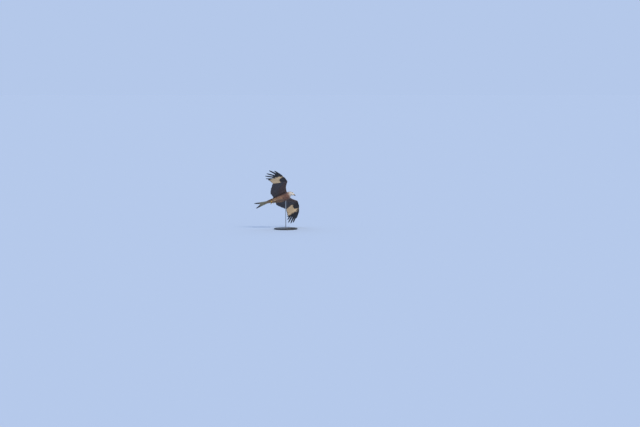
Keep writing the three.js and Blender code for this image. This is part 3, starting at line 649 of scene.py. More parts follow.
class FlightCoat(Coat):
    """Large feathers, each with a strip of the bake map of its own: its lower half for the face below"""

    def __init__(self, name, count):
        super().__init__(name, FLIGHT_VANE)
        self.count = count

    def add_large(self, points, above, below):
        u = (len(self.points) + 0.5 + 0.44 * self.vane.across) / self.count
        self.add(points, above, below, np.stack([u, 0.01 + 0.47 * self.vane.along], -1))

    def face_shift(self):
        shift = np.zeros((1, *self.vane.faces.shape, 2))
        shift[..., 1] = np.where(self.vane.under, 0, 0.51)[None, :, None]
        return shift


def show(piece, material, slot):
    bpy.context.scene.collection.objects.link(piece)
    piece.data.materials.clear()
    piece.data.materials.append(material)
    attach(piece, "root")
    return piece


def noise(size):
    return draws.uniform(-size, size)


def shade(colour):
    """A colour a little lighter or darker, as one feather differs from the next"""
    return np.asarray(colour) * (1 + noise(SHADE))


def ragged(vane, size):
    """Small steps in a vane's edge where its barbs part"""
    rows = np.unique(vane.along)
    steps = 1 - size * draws.random((2, len(rows))) ** 3
    row = np.searchsorted(rows, vane.along)
    return np.where(vane.across > 0, steps[0][row], steps[1][row])


def beside(vane, web, width, rag):
    """How far each point of a vane lies beside its shaft, with another web on its inner side if it has one"""
    half = np.where(vane.across > 0, smooth_at(web, vane.along, 1), smooth_at(web, vane.along, -1))
    return vane.across * half * width * ragged(vane, rag)


def laid_out(root, angle, along, side):
    """Places in plan along a feather and beside it. Its angle is from straight back towards the wing tip."""
    a = math.radians(angle)
    x = root[0] - math.cos(a) * along + math.sin(a) * side
    return x, root[1] + math.sin(a) * along + math.cos(a) * side


def shaft_rise(root_size, side):
    """How far the shaft stands out of a flight feather's vane"""
    return mix(root_size, SHAFT["tip"], FLIGHT_VANE.along) * np.exp(-((side / SHAFT["half"]) ** 2))


def flight_vane(place, root, angle, length, web, bow, drop=0, wide=1, heights=(0, 0)):
    """Points of a flight feather, bowed back, its tip hanging by a drop and its webs arched down a little"""
    t = FLIGHT_VANE.along
    side = beside(FLIGHT_VANE, web, wide, FLIGHT_RAG)
    x, y = laid_out(root, angle + math.degrees(math.atan(bow)), length * t, side - bow * length * t**2)
    lift = mix(*heights, np.minimum(1, 3 * t)) - drop * t**2 + math.tan(math.radians(FLIGHT_TILT)) * side
    lift = lift - 0.035 * np.abs(side) * (1 - 0.4 * t)
    z = wing_height(x, y) + lift + FLIGHT_VANE.face * (FLIGHT_HALF_THICK + shaft_rise(SHAFT["wing"], side))
    return place(x, y, z)


def rise_of(vane, side, layer, lie, face=1):
    """How far a small feather's points stand out, from its root's layer to its tip's"""
    power, droop, half_thick = lie
    return mix(*layer, vane.along**power) - droop * np.abs(side) + vane.face * face * half_thick


def covert_tuft(place, face, root, angle, length, width, layer):
    """A covert that lies along one face of the wing, rooted in its skin and rising to its tip"""
    side = beside(COVERT_VANE, ROUND_WEB, width / 2, 0.08)
    x, y = laid_out(root, angle, length * COVERT_VANE.along, side)
    rise = rise_of(COVERT_VANE, side, layer, LIE["wing"], face)
    return place(x, y, wing_height(x, y) + face * (wing_skin(x, y) + rise))


def bars(t, length, gap, share):
    """Cross bars along a feather: 1 on a bar and 0 between, gap apart in millimetres"""
    phase = (t * length / gap) % 1
    return fade(0, BAR_SOFT, phase) * (1 - fade(share, share + BAR_SOFT, phase))


def between(ends, t):
    return mix(*np.array(ends, float), t)


def toned(edge, core_way, depth):
    """An edge colour, a little off from the next feather's, and its core colour, darkened by depth"""
    light = 1 + noise(0.06)
    return edge * light, mix(edge, core_way, depth) * light


def tints(first, second, t):
    """Edge and core colours on the way from one kind of feather to another"""
    return [mix(COLOURS[first + kind], COLOURS[second + kind], t) for kind in ("", "_streak")]


def primary_colours(i, length):
    """Colours above and below of one primary: a barred pale base below and a dark end"""
    t, s = FLIGHT_VANE.along[:, None], FLIGHT_VANE.across[:, None]
    wave = 0.02 * np.sin(s * 5 + 2 * i) + 0.012 * np.sin(s * 17 + i)
    dark = fade(PALE_ENDS[i] - 0.045, PALE_ENDS[i] + 0.045, t + wave)
    barred = bars(t, length, 19, 0.3) * fade(0.2, 0.5, t) * 0.5
    grey = fade(0.1, 0.7, s) * (0.2 + 0.05 * i) * fade(0.12, 0.5, t)
    below = mix(COLOURS["primary_pale"], COLOURS["primary_bar"], np.clip(barred + grey, 0, 1))
    below = mix(below, COLOURS["primary_dark"], dark)
    above = mix(COLOURS["flight_upper"], COLOURS["primary_dark"], fade(0.35, 0.65, t))
    above = mix(above, COLOURS["flight_upper_bar"], bars(t, length, 21, 0.35) * 0.6)
    return toned(above, COLOURS["primary_dark"], 0.35), toned(below, COLOURS["primary_dark"], 0.22)


def secondary_colours(length):
    t = FLIGHT_VANE.along[:, None]
    barred = bars(t, length, 20, 0.35) * 0.8
    below = mix(COLOURS["flight_under"], COLOURS["flight_under_bar"], barred)
    above = mix(COLOURS["flight_upper"], COLOURS["flight_upper_bar"], barred)
    above = mix(above, COLOURS["upper_lesser"], fade(0.93, 0.99, t) * 0.7)
    return toned(above, COLOURS["primary_dark"], 0.3), toned(below, COLOURS["primary_dark"], 0.3)


def wing_flights(side):
    """The primaries, secondaries, tertials and alula of one wing"""
    number = len(PRIMARY_LENGTHS) + len(ALULA["lengths"]) + sum(row["count"] for row in ARM_FLIGHTS)
    coat = FlightCoat("wing_" + side + "_flight_feathers", number)
    arm, hand = arm_place(side), hand_place(side)
    primaries = zip(PRIMARY_ANGLES[side], PRIMARY_LENGTHS, PRIMARY_BOWS, PRIMARY_DROPS)
    for i, (angle, length, bow, drop) in enumerate(primaries):
        root = between(PRIMARY_ROOTS, i / (len(PRIMARY_LENGTHS) - 1))
        web, wide = (PRIMARY_WEB, 1) if i < FIRST_FINGER else (FINGER_WEB, FINGER_WIDE[side])
        points = flight_vane(hand, root, angle, length, web, bow, drop, wide)
        coat.add_large(points, *primary_colours(i, length))
    for row in ARM_FLIGHTS:
        for t in np.linspace(0, 1, row["count"]):
            length = mix(*row["lengths"], t) * (1 + noise(0.012))
            angle = mix(*row["angles"], t) + noise(0.5)
            points = flight_vane(arm, between(row["roots"], t), angle, length, SECONDARY_WEB, ARM_BOW)
            coat.add_large(points, *secondary_colours(length))
    for i, (angle, length) in enumerate(zip(ALULA["angles"], ALULA["lengths"])):
        heights = (ALULA["heights"][0], ALULA["heights"][1] - ALULA["step"] * i)
        points = flight_vane(hand, ALULA["root"], angle, length, ALULA_WEB, ALULA["bow"], heights=heights)
        pair = toned(COLOURS["flight_upper"] * 1.3, COLOURS["flight_upper_bar"], 0.6)
        coat.add_large(points, pair, pair)
    return coat


def covert_colours(face, share, y):
    """Edge and core colours of a covert, by its row and its place along the wing"""
    hand = fade(244, 276, y)
    if face > 0:
        pale = fade(0.45, 0.7, share) * (1 - fade(0.9, 0.97, share)) * (1 - hand)
        edge, core = tints("upper_lesser", "upper_pale", pale)
        return mix(edge, COLOURS["flight_upper"], 0.55 * hand), core
    pair = tints("under_lesser", "under_greater", fade(0.7, 0.95, share))
    return [mix(colour, COLOURS["carpal"], 0.9 * hand) for colour in pair]


def wing_coverts(side, face):
    """All coverts on one face of one wing, from the leading edge back over the flight feathers' bases"""
    coat = Coat("wing_" + side + ("_upper" if face > 0 else "_under") + "_coverts", COVERT_VANE)
    for row in ARM_ROWS:
        covert_row(coat, arm_place(side), face, row, ARM_SPAN)
    for row in HAND_ROWS:
        covert_row(coat, hand_place(side), face, row, HAND_SPAN)
    return coat


def covert_row(coat, place, face, row, span):
    share, length, width = row
    y = span[0] + draws.random() * width * ROW_SPACING
    while y < span[1]:
        slim = smooth_at(HAND_SLIM, y)
        x = mix(smooth_at(LEADING_EDGE, y), smooth_at(REAR_EDGE, y), share) + noise(0.6)
        angle = smooth_at(COVERT_ANGLE, y) + noise(2.5)
        reach = np.interp(y, *zip(*COVERT_REACH))
        long = ((length * slim) ** -3 + reach**-3) ** (-1 / 3) * (1 + noise(0.06))
        layer = (-0.6 - 0.02 * length, 0.9 + 0.012 * length + noise(0.15))
        points = covert_tuft(place, face, (x, y), angle, long, width * slim, layer)
        edge, core = covert_colours(face, share, y)
        coat.add_tuft(points, shade(edge), shade(core), wing_map(face, x, y))
        y += width * slim * ROW_SPACING * (1 + noise(0.1))


def wing_map(face, x, y):
    """A covert's place in the bake map: the wing in plan, its upper face in one half of it"""
    return 0.05 + 0.9 * (x + 110) / 230, 0.5 - 0.25 * face + 0.44 * (y - 200) / 380


def edge_coat(side):
    """The leading edge's own row of small feathers, each bent round the edge and lying out along it"""
    coat = Coat("wing_" + side + "_edge_coverts", COVERT_VANE)
    t, s = COVERT_VANE.along, COVERT_VANE.across
    for place, span in zip((arm_place(side), hand_place(side)), EDGE_SPANS):
        for y in np.arange(*span, EDGE["gap"]):
            run = y + EDGE["length"] * (1 + noise(0.12)) * t
            front = smooth_at(LEADING_EDGE, run)
            around = math.radians(EDGE["round"]) * s * smooth_at(ROUND_WEB, t) + noise(0.06)
            out = EDGE["width"] / 2 * mix(0.8, 1.12, t) + COVERT_VANE.face * EDGE["half_thick"]
            x = front - 1.6 - 3.0 * t**2 + out * np.cos(around)
            z = wing_height(front, run) + out * np.sin(around)
            edge = mix(COLOURS["upper_lesser"], COLOURS["under_lesser"], 0.5)
            edge = mix(edge, COLOURS["carpal"], fade(250, 280, y))
            uv = (0.98, 0.02 + y / 400)
            coat.add_tuft(place(x, run, z), shade(edge), shade(COLOURS["carpal"]), uv)
    return coat


def soft_most(a, b, soft):
    """The larger of two heights, with the crease between them rounded"""
    return np.logaddexp(a / soft, b / soft) * soft


def body_height(x, y, face):
    """How far the torso's surface reaches up, or down where face is -1, at a place in plan"""
    behind = [-row[0] for row in reversed(BODY_LINE)]
    line = body_columns(np.interp(-x, behind, range(len(BODY_LINE) - 1, -1, -1)))
    high = line[..., 6] if face > 0 else line[..., 7]
    share = np.abs(y) / line[..., 5]
    return face * line[..., 2] + high * np.sqrt(1 - np.clip(share, 0, 1) ** 2) - 14 * np.maximum(share - 1, 0)


def seam_coat(side):
    """Scapulars above and axillaries below, which run back over the seam between body and wing"""
    coat = Coat("wing_" + side + "_root_feathers", BODY_VANE)
    place = arm_place(side)
    for tract in SEAM_TRACTS:
        face = tract["face"]
        for row, i in itertools.product(range(tract["rows"]), range(tract["count"])):
            t = (i + 0.5 * (row % 2) + noise(0.15)) / tract["count"]
            out = row / (tract["rows"] - 1)
            root = (mix(*tract["ends"], t) - 5 * out, tract["near"] + SEAM_STEP * row * (1 - 0.25 * t))
            length = mix(*tract["lengths"], t) * (1 - 0.25 * out) * (1 + noise(0.07))
            angle = mix(4, -7, t) + noise(3)
            layer = (-5.5, 1.0 + 0.02 * length + noise(0.3))
            points = seam_tuft(place, face, root, angle, length, 5 + 0.15 * length, layer)
            edge, core = seam_colours(face, out)
            coat.add_tuft(points, shade(edge), shade(core), (0.3 + 0.3 * t, 0.5 + face * (0.1 + 0.2 * out)))
    return coat


def seam_tuft(place, face, root, angle, length, width, layer):
    side = beside(BODY_VANE, ROUND_WEB, width / 2, BODY_RAG)
    x, y = laid_out(root, angle, length * BODY_VANE.along, side)
    wing = face * wing_height(x, y) + wing_skin(x, y)
    high = soft_most(wing, body_height(x, y, face), SEAM_SOFT)
    return place(x, y, face * (high + rise_of(BODY_VANE, side, layer, LIE["seam"], face)))


def seam_colours(face, out):
    if face > 0:
        return mix(COLOURS["mantle"], COLOURS["upper_lesser"], out), COLOURS["mantle_streak"]
    return tints("breast", "under_lesser", out)


def run_colour(run, kind, behind):
    """One colour of a run of body colours at a distance behind the bill"""
    colour = COLOURS[run[0][0] + kind]
    for name, start, end in run[1:]:
        colour = mix(colour, COLOURS[name + kind], fade(start, end, behind))
    return colour


def body_colours(behind, turn):
    """Edge and core colours of the body's feathers at a distance behind the bill and a turn"""
    pairs = [[run_colour(BODY_TINTS[face], kind, behind) for face in BODY_TINTS] for kind in ("", "_streak")]
    return [mix(below, above, fade(-0.1, 0.45, np.sin(turn))) for below, above in pairs]


def in_wing(point):
    """True where a point of the body lies inside the root of a wing"""
    x, y = swung(point[0], abs(point[1]), SHOULDER, -SWING["left" if point[1] > 0 else "right"])
    if y < 30 or not smooth_at(REAR_EDGE, y) + 6 < x < smooth_at(LEADING_EDGE, y) - 4:
        return False
    return abs(point[2] - wing_height(x, y)) < flesh_half(x, y) - 3


def turns_round(number, row, wander):
    """The turns of a row of feathers round a body or limb, each row staggered from the last"""
    for i in range(number):
        yield (i + 0.5 * (row % 2) + noise(wander)) * 2 * math.pi / number


def near_eye(point):
    """True where a point of the head lies within the lids' room"""
    eyes = [head_point(EYE_PLACE[0], side * (EYE_PLACE[1] + 4), EYE_PLACE[2]) for side in (1, -1)]
    return min(np.linalg.norm(point - eye) for eye in eyes) < BODY_ROWS["eye_clear"]


def body_coat():
    """The body's small feathers, in rows round it from the bill back, each lying over the next"""
    fine = Coat("head_and_neck_feathers", SMALL_VANE)
    large = Coat("body_feathers", BODY_VANE)
    behind = BODY_ROWS["start"]
    row = 0
    while behind < BODY_LONG - BODY_ROWS["end"]:
        body_row(fine if behind < BODY_ROWS["fine_until"] else large, behind, row)
        behind += smooth_at(PLUMAGE, behind)
        row += 1
    return fine, large


def body_row(coat, behind, row):
    """One row of feathers round the body, except under the lids and inside the roots of the wings"""
    step, length, width, deep = (smooth_at(PLUMAGE, behind, c) for c in (1, 2, 3, 4))
    around = body_surface(behind, circle_turns(72), 0.0)[1].mean() * 2 * math.pi
    web = HEAD_WEB if behind < BODY_ROWS["narrow_until"] else ROUND_WEB
    for turn in turns_round(max(10, int(around / (width * 0.6))), row, 0.18):
        start = behind + noise(step * 0.25)
        root, _ = body_surface(start, turn, 0.0)
        if near_eye(root) or in_wing(root):
            continue
        long = length * (1 + noise(0.1))
        points = body_tuft(coat.vane, start, turn, long, width, deep, web)
        edge, core = body_colours(start + long * 0.6, turn)
        uv = (0.03 + 0.94 * start / BODY_LONG, 0.03 + 0.94 * (turn / (2 * math.pi) % 1))
        coat.add_tuft(points, shade(edge), shade(core), uv)


def body_tuft(vane, start, turn, length, width, deep, web):
    behind = start + length * vane.along
    side = beside(vane, web, width / 2, BODY_RAG)
    _, metric = body_surface(behind, turn, 0.0)
    turns = turn + (side + noise(0.05) * length * vane.along) / np.maximum(metric, 4)
    proud = 0.25 + 0.03 * deep + noise(0.05 * deep)
    lie = (0.42, 0.03, min(0.09, 0.022 * width))
    return body_surface(behind, turns, rise_of(vane, side, (-deep, proud), lie))[0]


def limb_surface(stations, side, t, turn, out):
    """Points round a leg's run of stations, moved out from it"""
    x, y, z, half, high = columns_at(stations, t)
    outward = SIDES[side] * (y + (half + out) * np.cos(turn))
    return np.stack(np.broadcast_arrays(x, outward, z + (high + out) * np.sin(turn)), -1)


def thigh_coat(side):
    """The feathers of the thigh, and the loose ones that lie on over the tarsus"""
    coat = Coat("thigh_" + side + "_feathers", BODY_VANE)
    for row in range(THIGH["rows"]):
        start = THIGH["first"] + row * THIGH["step"]
        half = columns_at(THIGH["stations"], start)[3]
        edge = mix(COLOURS["belly"], COLOURS["vent"], start)
        limb_row(coat, THIGH, side, row, start, max(8, int(2 * math.pi * half / 6)), edge)
    for row in range(TROUSERS["rows"]):
        limb_row(coat, TROUSERS, side, row, row * TROUSERS["step"], TROUSERS["count"], COLOURS["vent"])
    return coat


def limb_row(coat, limb, side, row, start, number, edge):
    """One row of feathers round a thigh or a tarsus, from a share of its length on"""
    long = limb["stations"][0][0] - limb["stations"][-1][0]
    for turn in turns_round(number, row, limb["wander"]):
        length = mix(*limb["lengths"], start) * (1 + noise(limb["vary"]))
        points = limb_tuft(limb, side, start, turn, length / long, mix(*limb["widths"], start))
        uv = (mix(*limb["map"], start), turn / 7 % 0.95)
        coat.add_tuft(points, shade(edge), shade(COLOURS[limb["streak"]]), uv)


def limb_tuft(limb, side, start, turn, share, width):
    stations = limb["stations"]
    t = start + BODY_VANE.along * share
    across = beside(BODY_VANE, ROUND_WEB, width / 2, BODY_RAG)
    radius = np.interp(t, np.linspace(0, 1, len(stations)), [row[3] for row in stations])
    out = rise_of(BODY_VANE, across, (-limb["deep"], 0.6), LIE["limb"])
    points = limb_surface(stations, side, np.minimum(t, 1), turn + across / np.maximum(radius, 4), out)
    points[:, 0] -= np.maximum(t - 1, 0) * (stations[0][0] - stations[-1][0])
    return points


def tail_feathers():
    """The forked tail: the middle pair lies on top and each feather outward lies under the last"""
    coat = FlightCoat("tail_feathers", 2 * TAIL_PAIRS)
    t = FLIGHT_VANE.along
    for side, i in itertools.product((1, -1), range(TAIL_PAIRS)):
        share = i / (TAIL_PAIRS - 1)
        root_y = side * TAIL_ROOT[1] * (i + 0.5)
        length = TAIL_ROOT[0] - mix(TAIL_TIPS["inner"][0], TAIL_TIPS["outer"][0], share ** TAIL_TIPS["fork"])
        tip_y = side * mix(TAIL_TIPS["inner"][1], TAIL_TIPS["outer"][1], share)
        across = beside(FLIGHT_VANE, TAIL_WEB, 1, FLIGHT_RAG)
        y = root_y + (tip_y - root_y) * t ** TAIL_TIPS["curve"] + side * across
        level = TAIL_ROOT[2] - TAIL_LAYER * (i + (0 if side > 0 else 0.5))
        z = mix(TAIL_ROOT[2], level, np.minimum(1, 4 * t)) - 0.03 * np.abs(across)
        z = z + FLIGHT_VANE.face * (FLIGHT_HALF_THICK + shaft_rise(SHAFT["tail"], across))
        coat.add_large(tail_place(TAIL_ROOT[0] - length * t, y, z), *tail_colours(i, length))
    return coat


def tail_colours(i, length):
    """Colours above and below of one tail feather, with darker corners outward and a pale tip inward"""
    t, s = FLIGHT_VANE.along[:, None], FLIGHT_VANE.across[:, None]
    barred = bars(t, length, 24, 0.3) * fade(0.3, 0.5, t) * (0.22 + 0.05 * i)
    outer = fade(0.1, 0.9, s) * fade(3, 5, i) * 0.5 * fade(0.3, 0.7, t)
    corner = fade(0.68, 0.86, t) * fade(1.5, 4, i) + outer
    above = mix(COLOURS["tail_upper"], COLOURS["tail_dark"], np.clip(0.8 * barred + 0.9 * corner, 0, 1))
    below = mix(COLOURS["tail_under"], COLOURS["tail_dark"], np.clip(barred + corner, 0, 1))
    pale_tip = fade(0.97, 0.995, t) * 0.5 * (1 - fade(1, 3.5, i))
    above, below = (mix(colour, COLOURS["tail_tip"], pale_tip) for colour in (above, below))
    return toned(above, COLOURS["tail_dark"], 0.3), toned(below, COLOURS["tail_dark"], 0.25)


def tail_coverts():
    """Rows of feathers over the tail's root, above and below"""
    coat = Coat("tail_coverts", COVERT_VANE)
    for face, rows in TAIL_COVERTS.items():
        for row, (x, half, length) in enumerate(rows):
            number = TAIL_COVERT_COUNT - row % 2
            for i in range(number):
                spread = 2 * (i + 0.5) / number - 1 + noise(0.03)
                long = length * (1 - 0.22 * spread**2) * (1 + noise(0.05))
                points = tail_tuft(face, row, x, half * spread, long)
                uv = ((x + 220) / 80 * 0.9, 0.5 + face * (0.03 + 0.2 * (1 + spread)))
                coat.add_tuft(points, *tail_covert_colours(face, row), uv)
    return coat


def tail_tuft(face, row, x, y, length):
    """A covert that lies on the tail root's flesh at first, then on the tail feathers"""
    t = COVERT_VANE.along
    side = beside(COVERT_VANE, ROUND_WEB, TAIL_COVERT_HALF, 0.06)
    x = x - length * t
    y = y * (1 + 0.28 * t) + side
    flat = TAIL_ROOT[2] + face * (2.6 + (0 if face > 0 else TAIL_LAYER * TAIL_PAIRS) + 0.36 * (4 - row))
    behind = BODY_LONG - (x - BODY_LINE[0][0])
    line = body_columns(np.interp(behind, BODY_BEHIND, BODY_STATIONS))
    high = line[:, 6] if face > 0 else line[:, 7]
    rounded = np.sqrt(np.clip(1 - (y / np.maximum(line[:, 5] + 3, 1)) ** 2, 0, 1))
    body = line[:, 2] + face * (high * rounded - 1.5)
    base = np.maximum(face * body, face * flat)
    z = face * (base + rise_of(COVERT_VANE, side, (-1.5, 1.2), LIE["tail"], face) + 0.25 * (4 - row))
    return tail_place(x, y, z)


def tail_covert_colours(face, row):
    if face > 0:
        edge = mix(COLOURS["rump"], COLOURS["tail_upper"], row / 4)
        return shade(edge), shade(mix(COLOURS["mantle_streak"], edge, 0.15 * row))
    edge = mix(COLOURS["vent"], COLOURS["tail_under"], row / 5)
    return shade(edge), shade(mix(COLOURS["vent_streak"], edge, 0.3))


# Skin and bare parts


def ring_points(centre, left, up, half, high, sides):
    """An oval of points round a centre"""
    turn = circle_turns(sides)
    return centre + np.outer(half * np.cos(turn), left) + np.outer(high * np.sin(turn), up)


def loft(made, rings, closed=False):
    """Adds a skin over rings of points, each a circle moved into place and bridged to the next"""
    loops = []
    for ring in rings:
        verts = bmesh.ops.create_circle(made, segments=len(ring), radius=1)["verts"]
        for vert, place in zip(verts, to_world(ring)):
            vert.co = place
        loops.append(list({edge for vert in verts for edge in vert.link_edges}))
    for near, far in zip(loops, loops[1:] + loops[:1] if closed else loops[1:]):
        bmesh.ops.bridge_loops(made, edges=near + far)
    for end in () if closed else (loops[0], loops[-1]):
        bmesh.ops.edgeloop_fill(made, edges=end)
    return made


def piece_from(made, name, material, slot):
    bmesh.ops.remove_doubles(made, verts=made.verts, dist=1e-7)
    bmesh.ops.recalc_face_normals(made, faces=made.faces)
    for face in made.faces:
        face.smooth = True
    mesh = bpy.data.meshes.new(name)
    made.to_mesh(mesh)
    made.free()
    return show(bpy.data.objects.new(name, mesh), material, slot)


def with_modifier(piece, kind, **settings):
    """Applies one modifier to a piece's mesh"""
    modifier = piece.modifiers.new(kind.lower(), kind)
    for key, value in settings.items():
        setattr(modifier, key, value)
    shaped = piece.evaluated_get(bpy.context.evaluated_depsgraph_get())
    mesh = bpy.data.meshes.new_from_object(shaped)
    piece.modifiers.clear()
    mesh.name = piece.name
    piece.data = mesh


def skin(material):
    """One skin under all the feathers: body, thighs and the flesh of both wings"""
    made = bmesh.new()
    deeps = [(behind, smooth_at(PLUMAGE, behind, 4)) for behind in np.linspace(BODY_LONG, 0, 90)]
    loft(made, [body_surface(behind, circle_turns(36), -deep)[0] for behind, deep in deeps])
    for side in SIDES:
        thigh = (THIGH["stations"], side)
        loft(made, [limb_surface(*thigh, t, circle_turns(18), -THIGH["deep"]) for t in np.linspace(0, 1, 16)])
        for place, span in zip((arm_place(side), hand_place(side)), FLESH_SPANS):
            loft(made, [wing_ring(place, y) for y in np.linspace(*span)])
    whole = piece_from(made, "skin", material, "body_plumage")
    with_modifier(whole, "REMESH", mode="VOXEL", voxel_size=SKIN_VOXEL, use_smooth_shade=True)
    with_modifier(whole, "SMOOTH", factor=0.5, iterations=2)
    paint_skin(whole.data)
    return whole


def wing_ring(place, y):
    """A section of the wing's flesh, from its leading edge back over it and forward under it"""
    front, rear = smooth_at(LEADING_EDGE, y), smooth_at(REAR_EDGE, y)
    shares = np.array((0, 0.04, 0.14, 0.3, 0.5, 0.75, 1))
    x = mix(front - 2, rear, np.concatenate([shares, shares[-2:0:-1]]))
    face = np.concatenate([np.ones(len(shares)), -np.ones(len(shares) - 2)])
    half = np.maximum(flesh_half(x, y) - WING_SKIN_DEEP, 0.9)
    half[0] = 0.2
    return place(x, np.full(len(x), y), wing_height(x, y) + face * half)


def paint_skin(mesh):
    """Gives the skin the coat's own colours, so that no bare patch shows between feathers"""
    places = np.empty(len(mesh.vertices) * 3, np.float32)
    mesh.vertices.foreach_get("co", places)
    x, _, z = ((places.reshape(-1, 3) / MM - BIRD_PLACE) @ ATTITUDE).T[..., None]
    upper = fade(-8, 12, z)
    colour = mix(COLOURS["breast_streak"], COLOURS["mantle_streak"], upper)
    colour = mix(colour, COLOURS["vent_streak"], fade(-90, -170, x) * (1 - upper))
    colour = mix(colour, COLOURS["crown"] * 0.6, fade(20, 70, x))
    solid = np.ones((len(colour), 4), np.float32)
    solid[:, :3] = colour
    mesh.color_attributes.new("tint", "FLOAT_COLOR", "POINT").data.foreach_set("color", solid.ravel())


def bill_rings(stations, start, end, count, swell=0.0, sides=28):
    """Rings along a half of the bill, between two shares of its run"""
    rings = []
    for t in np.linspace(start, end, count):
        forward, up, pitch, half, high = columns_at(stations, t)
        tilt = math.radians(pitch)
        rise = HEAD_AXES[2] * math.cos(tilt) - HEAD_AXES[0] * math.sin(tilt)
        bulge = swell * math.sin(math.pi * (t - start) / (end - start))
        centre = head_point(forward, 0, up)
        rings.append(ring_points(centre, HEAD_AXES[1], rise, half + bulge, high + bulge, sides))
    return rings


def bill(upper_horn, lower_horn, cere):
    """The bill's two halves, the cere with its nostrils, and the edge of the mouth"""
    made = loft(bmesh.new(), bill_rings(UPPER_BILL, CERE_SHARE, 1, 40))
    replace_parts(piece_from(made, "bill_upper_horn", upper_horn, "bill_horn"), "bill_upper")
    made = loft(bmesh.new(), bill_rings(LOWER_BILL, 0, 1, 24))
    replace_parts(piece_from(made, "bill_lower_horn", lower_horn, "bill_horn"), "bill_lower")
    made = loft(bmesh.new(), bill_rings(UPPER_BILL, -0.02, CERE_SHARE + 0.015, 30, 0.45, 64))
    # painted shade: this layer marks how deep each point lies in a nostril, and the cere's finish darkens it
    # there
    pit_shades = made.verts.layers.float.new("pit")
    for side in (1, -1):
        nostril(made, pit_shades, side)
    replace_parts(piece_from(made, "cere_skin", cere, "cere_skin"), "cere")
    gape(cere)


def nostril(made, pit_shades, side):
    """Presses one nostril into the cere, and marks how deep each point lies in it for the painted shade in
    the cere's finish
    """
    forward, left, up = NOSTRIL["at"]
    place = Vector(to_world(head_point(forward, side * left, up)))
    axes = [Vector(ATTITUDE @ axis) for axis in HEAD_AXES]
    for vert in made.verts:
        gaps = [(vert.co - place).dot(axis) / (MM * spread) for axis, spread in zip(axes, NOSTRIL["spread"])]
        pit = math.exp(-(sum(gap * gap for gap in gaps) ** 1.5))
        vert.co -= axes[1] * (side * NOSTRIL["deep"] * MM * pit)
        vert[pit_shades] += pit


def gape(cere):
    """The thin yellow edge of the mouth, from the bill back under the eye on each side"""
    made = bmesh.new()
    turns = np.linspace(-0.9, 0.3, 60)
    shares = np.linspace(0, 1, 16)
    for side in (1, -1):
        line = []
        for t in shares:
            behind = mix(*GAPE["behind"], t)
            ring, _ = body_surface(max(behind, 0), turns if side > 0 else math.pi - turns, 0.0)
            level = [np.interp(mix(*GAPE["level"], t), in_head(ring)[:, 2], ring[:, k]) for k in range(3)]
            line.append(level + HEAD_AXES[0] * max(-behind, 0))
        limb_rings(made, np.array(line), GAPE["radius"] * (1 - 0.7 * shares**2), 10, HEAD_AXES[1] * side)
    piece_from(made, "gape_skin", cere, "cere_skin")


def limb_rings(made, line, radii, sides, left):
    """A round limb along a line of points, with a radius at each"""
    heading = np.gradient(line, axis=0)
    heading /= np.linalg.norm(heading, axis=1)[:, None]
    rings = []
    for place, way, radius in zip(line, heading, radii):
        across = left - way * np.dot(left, way)
        across /= np.linalg.norm(across)
        rings.append(ring_points(place, across, np.cross(way, across), radius, radius, sides))
    return loft(made, rings)


def eye(side, iris, lid):
    """A glossy eye with a clear bulge over its iris, and the ring of lids round it"""
    centre = head_point(EYE_PLACE[0], SIDES[side] * EYE_PLACE[1], EYE_PLACE[2])
    axis = np.multiply(EYE_AXIS, (1, SIDES[side], 1)) @ HEAD_AXES
    axis /= np.linalg.norm(axis)
    turn = Vector((0, 0, 1)).rotation_difference(Vector(ATTITUDE @ axis)).to_matrix().to_4x4()
    made = bmesh.new()
    bmesh.ops.create_uvsphere(made, u_segments=48, v_segments=40, radius=EYE_RADIUS * MM)
    rings = made.verts.layers.float.new("ring")
    for vert in made.verts:
        off = math.hypot(vert.co.x, vert.co.y) / MM
        if vert.co.z > 0:
            vert.co.z += CORNEA["high"] * MM * math.exp(-((off / CORNEA["radius"]) ** 4))
        vert[rings] = off / EYE_RADIUS if vert.co.z > 0 else 1
    bmesh.ops.transform(made, matrix=Matrix.Translation(Vector(to_world(centre))) @ turn, verts=made.verts)
    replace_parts(piece_from(made, "eyeball_" + side, iris, "eye"), "eye_" + side)
    lids(side, lid, centre, axis)


def lids(side, material, centre, axis):
    """Two rings of flesh round the eye, a little wider than high"""
    up = HEAD_AXES[2] - axis * np.dot(HEAD_AXES[2], axis)
    up /= np.linalg.norm(up)
    across = np.cross(up, axis)
    made = bmesh.new()
    for radius, minor, out in LID_RINGS:
        line = ring_points(centre + axis * out, across, up, radius * 1.06, radius * 0.94, 32)
        aways = line - line.mean(0)
        aways /= np.linalg.norm(aways, axis=1)[:, None]
        rings = [ring_points(place, away, axis, minor, minor, 10) for place, away in zip(line, aways)]
        loft(made, rings, closed=True)
    piece_from(made, "eyelids_" + side, material, "head_plumage")


def curl_line(start, level, length, lean, curl, count):
    """A line of points that starts at a lean below the level and curls further down"""
    points = [np.array(start, float)]
    for i in range(count):
        bend = math.radians(lean + curl * (i + 0.5) / count)
        step = level * math.cos(bend) + np.array((0, 0, -math.sin(bend)))
        points.append(points[-1] + step * length / count)
    return np.array(points)


def scutes(t, number, high):
    """The low ridges of the scutes along a leg, as a factor of its radius"""
    return 1 + high * np.abs(np.sin(math.pi * number * t))


def foot(side, scales, horn):
    """A tarsus and its four toes, with a claw on each toe"""
    start, end = (np.multiply(TARSUS[key], (1, SIDES[side], 1)) for key in ("from", "to"))
    made = bmesh.new()
    t = np.linspace(0, 1, 50)
    radii = smooth_at(TARSUS["radii"], t) * scutes(t, TARSUS["scutes"], 0.05)
    limb_rings(made, mix(start, end, t[:, None]), radii, 20, np.array((0.0, 1.0, 0.0)))
    for toe in TOES:
        toe_and_claw(made, side, toe, end, horn)
    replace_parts(piece_from(made, "foot_" + side + "_skin", scales, "foot_skin"), "foot_" + side)


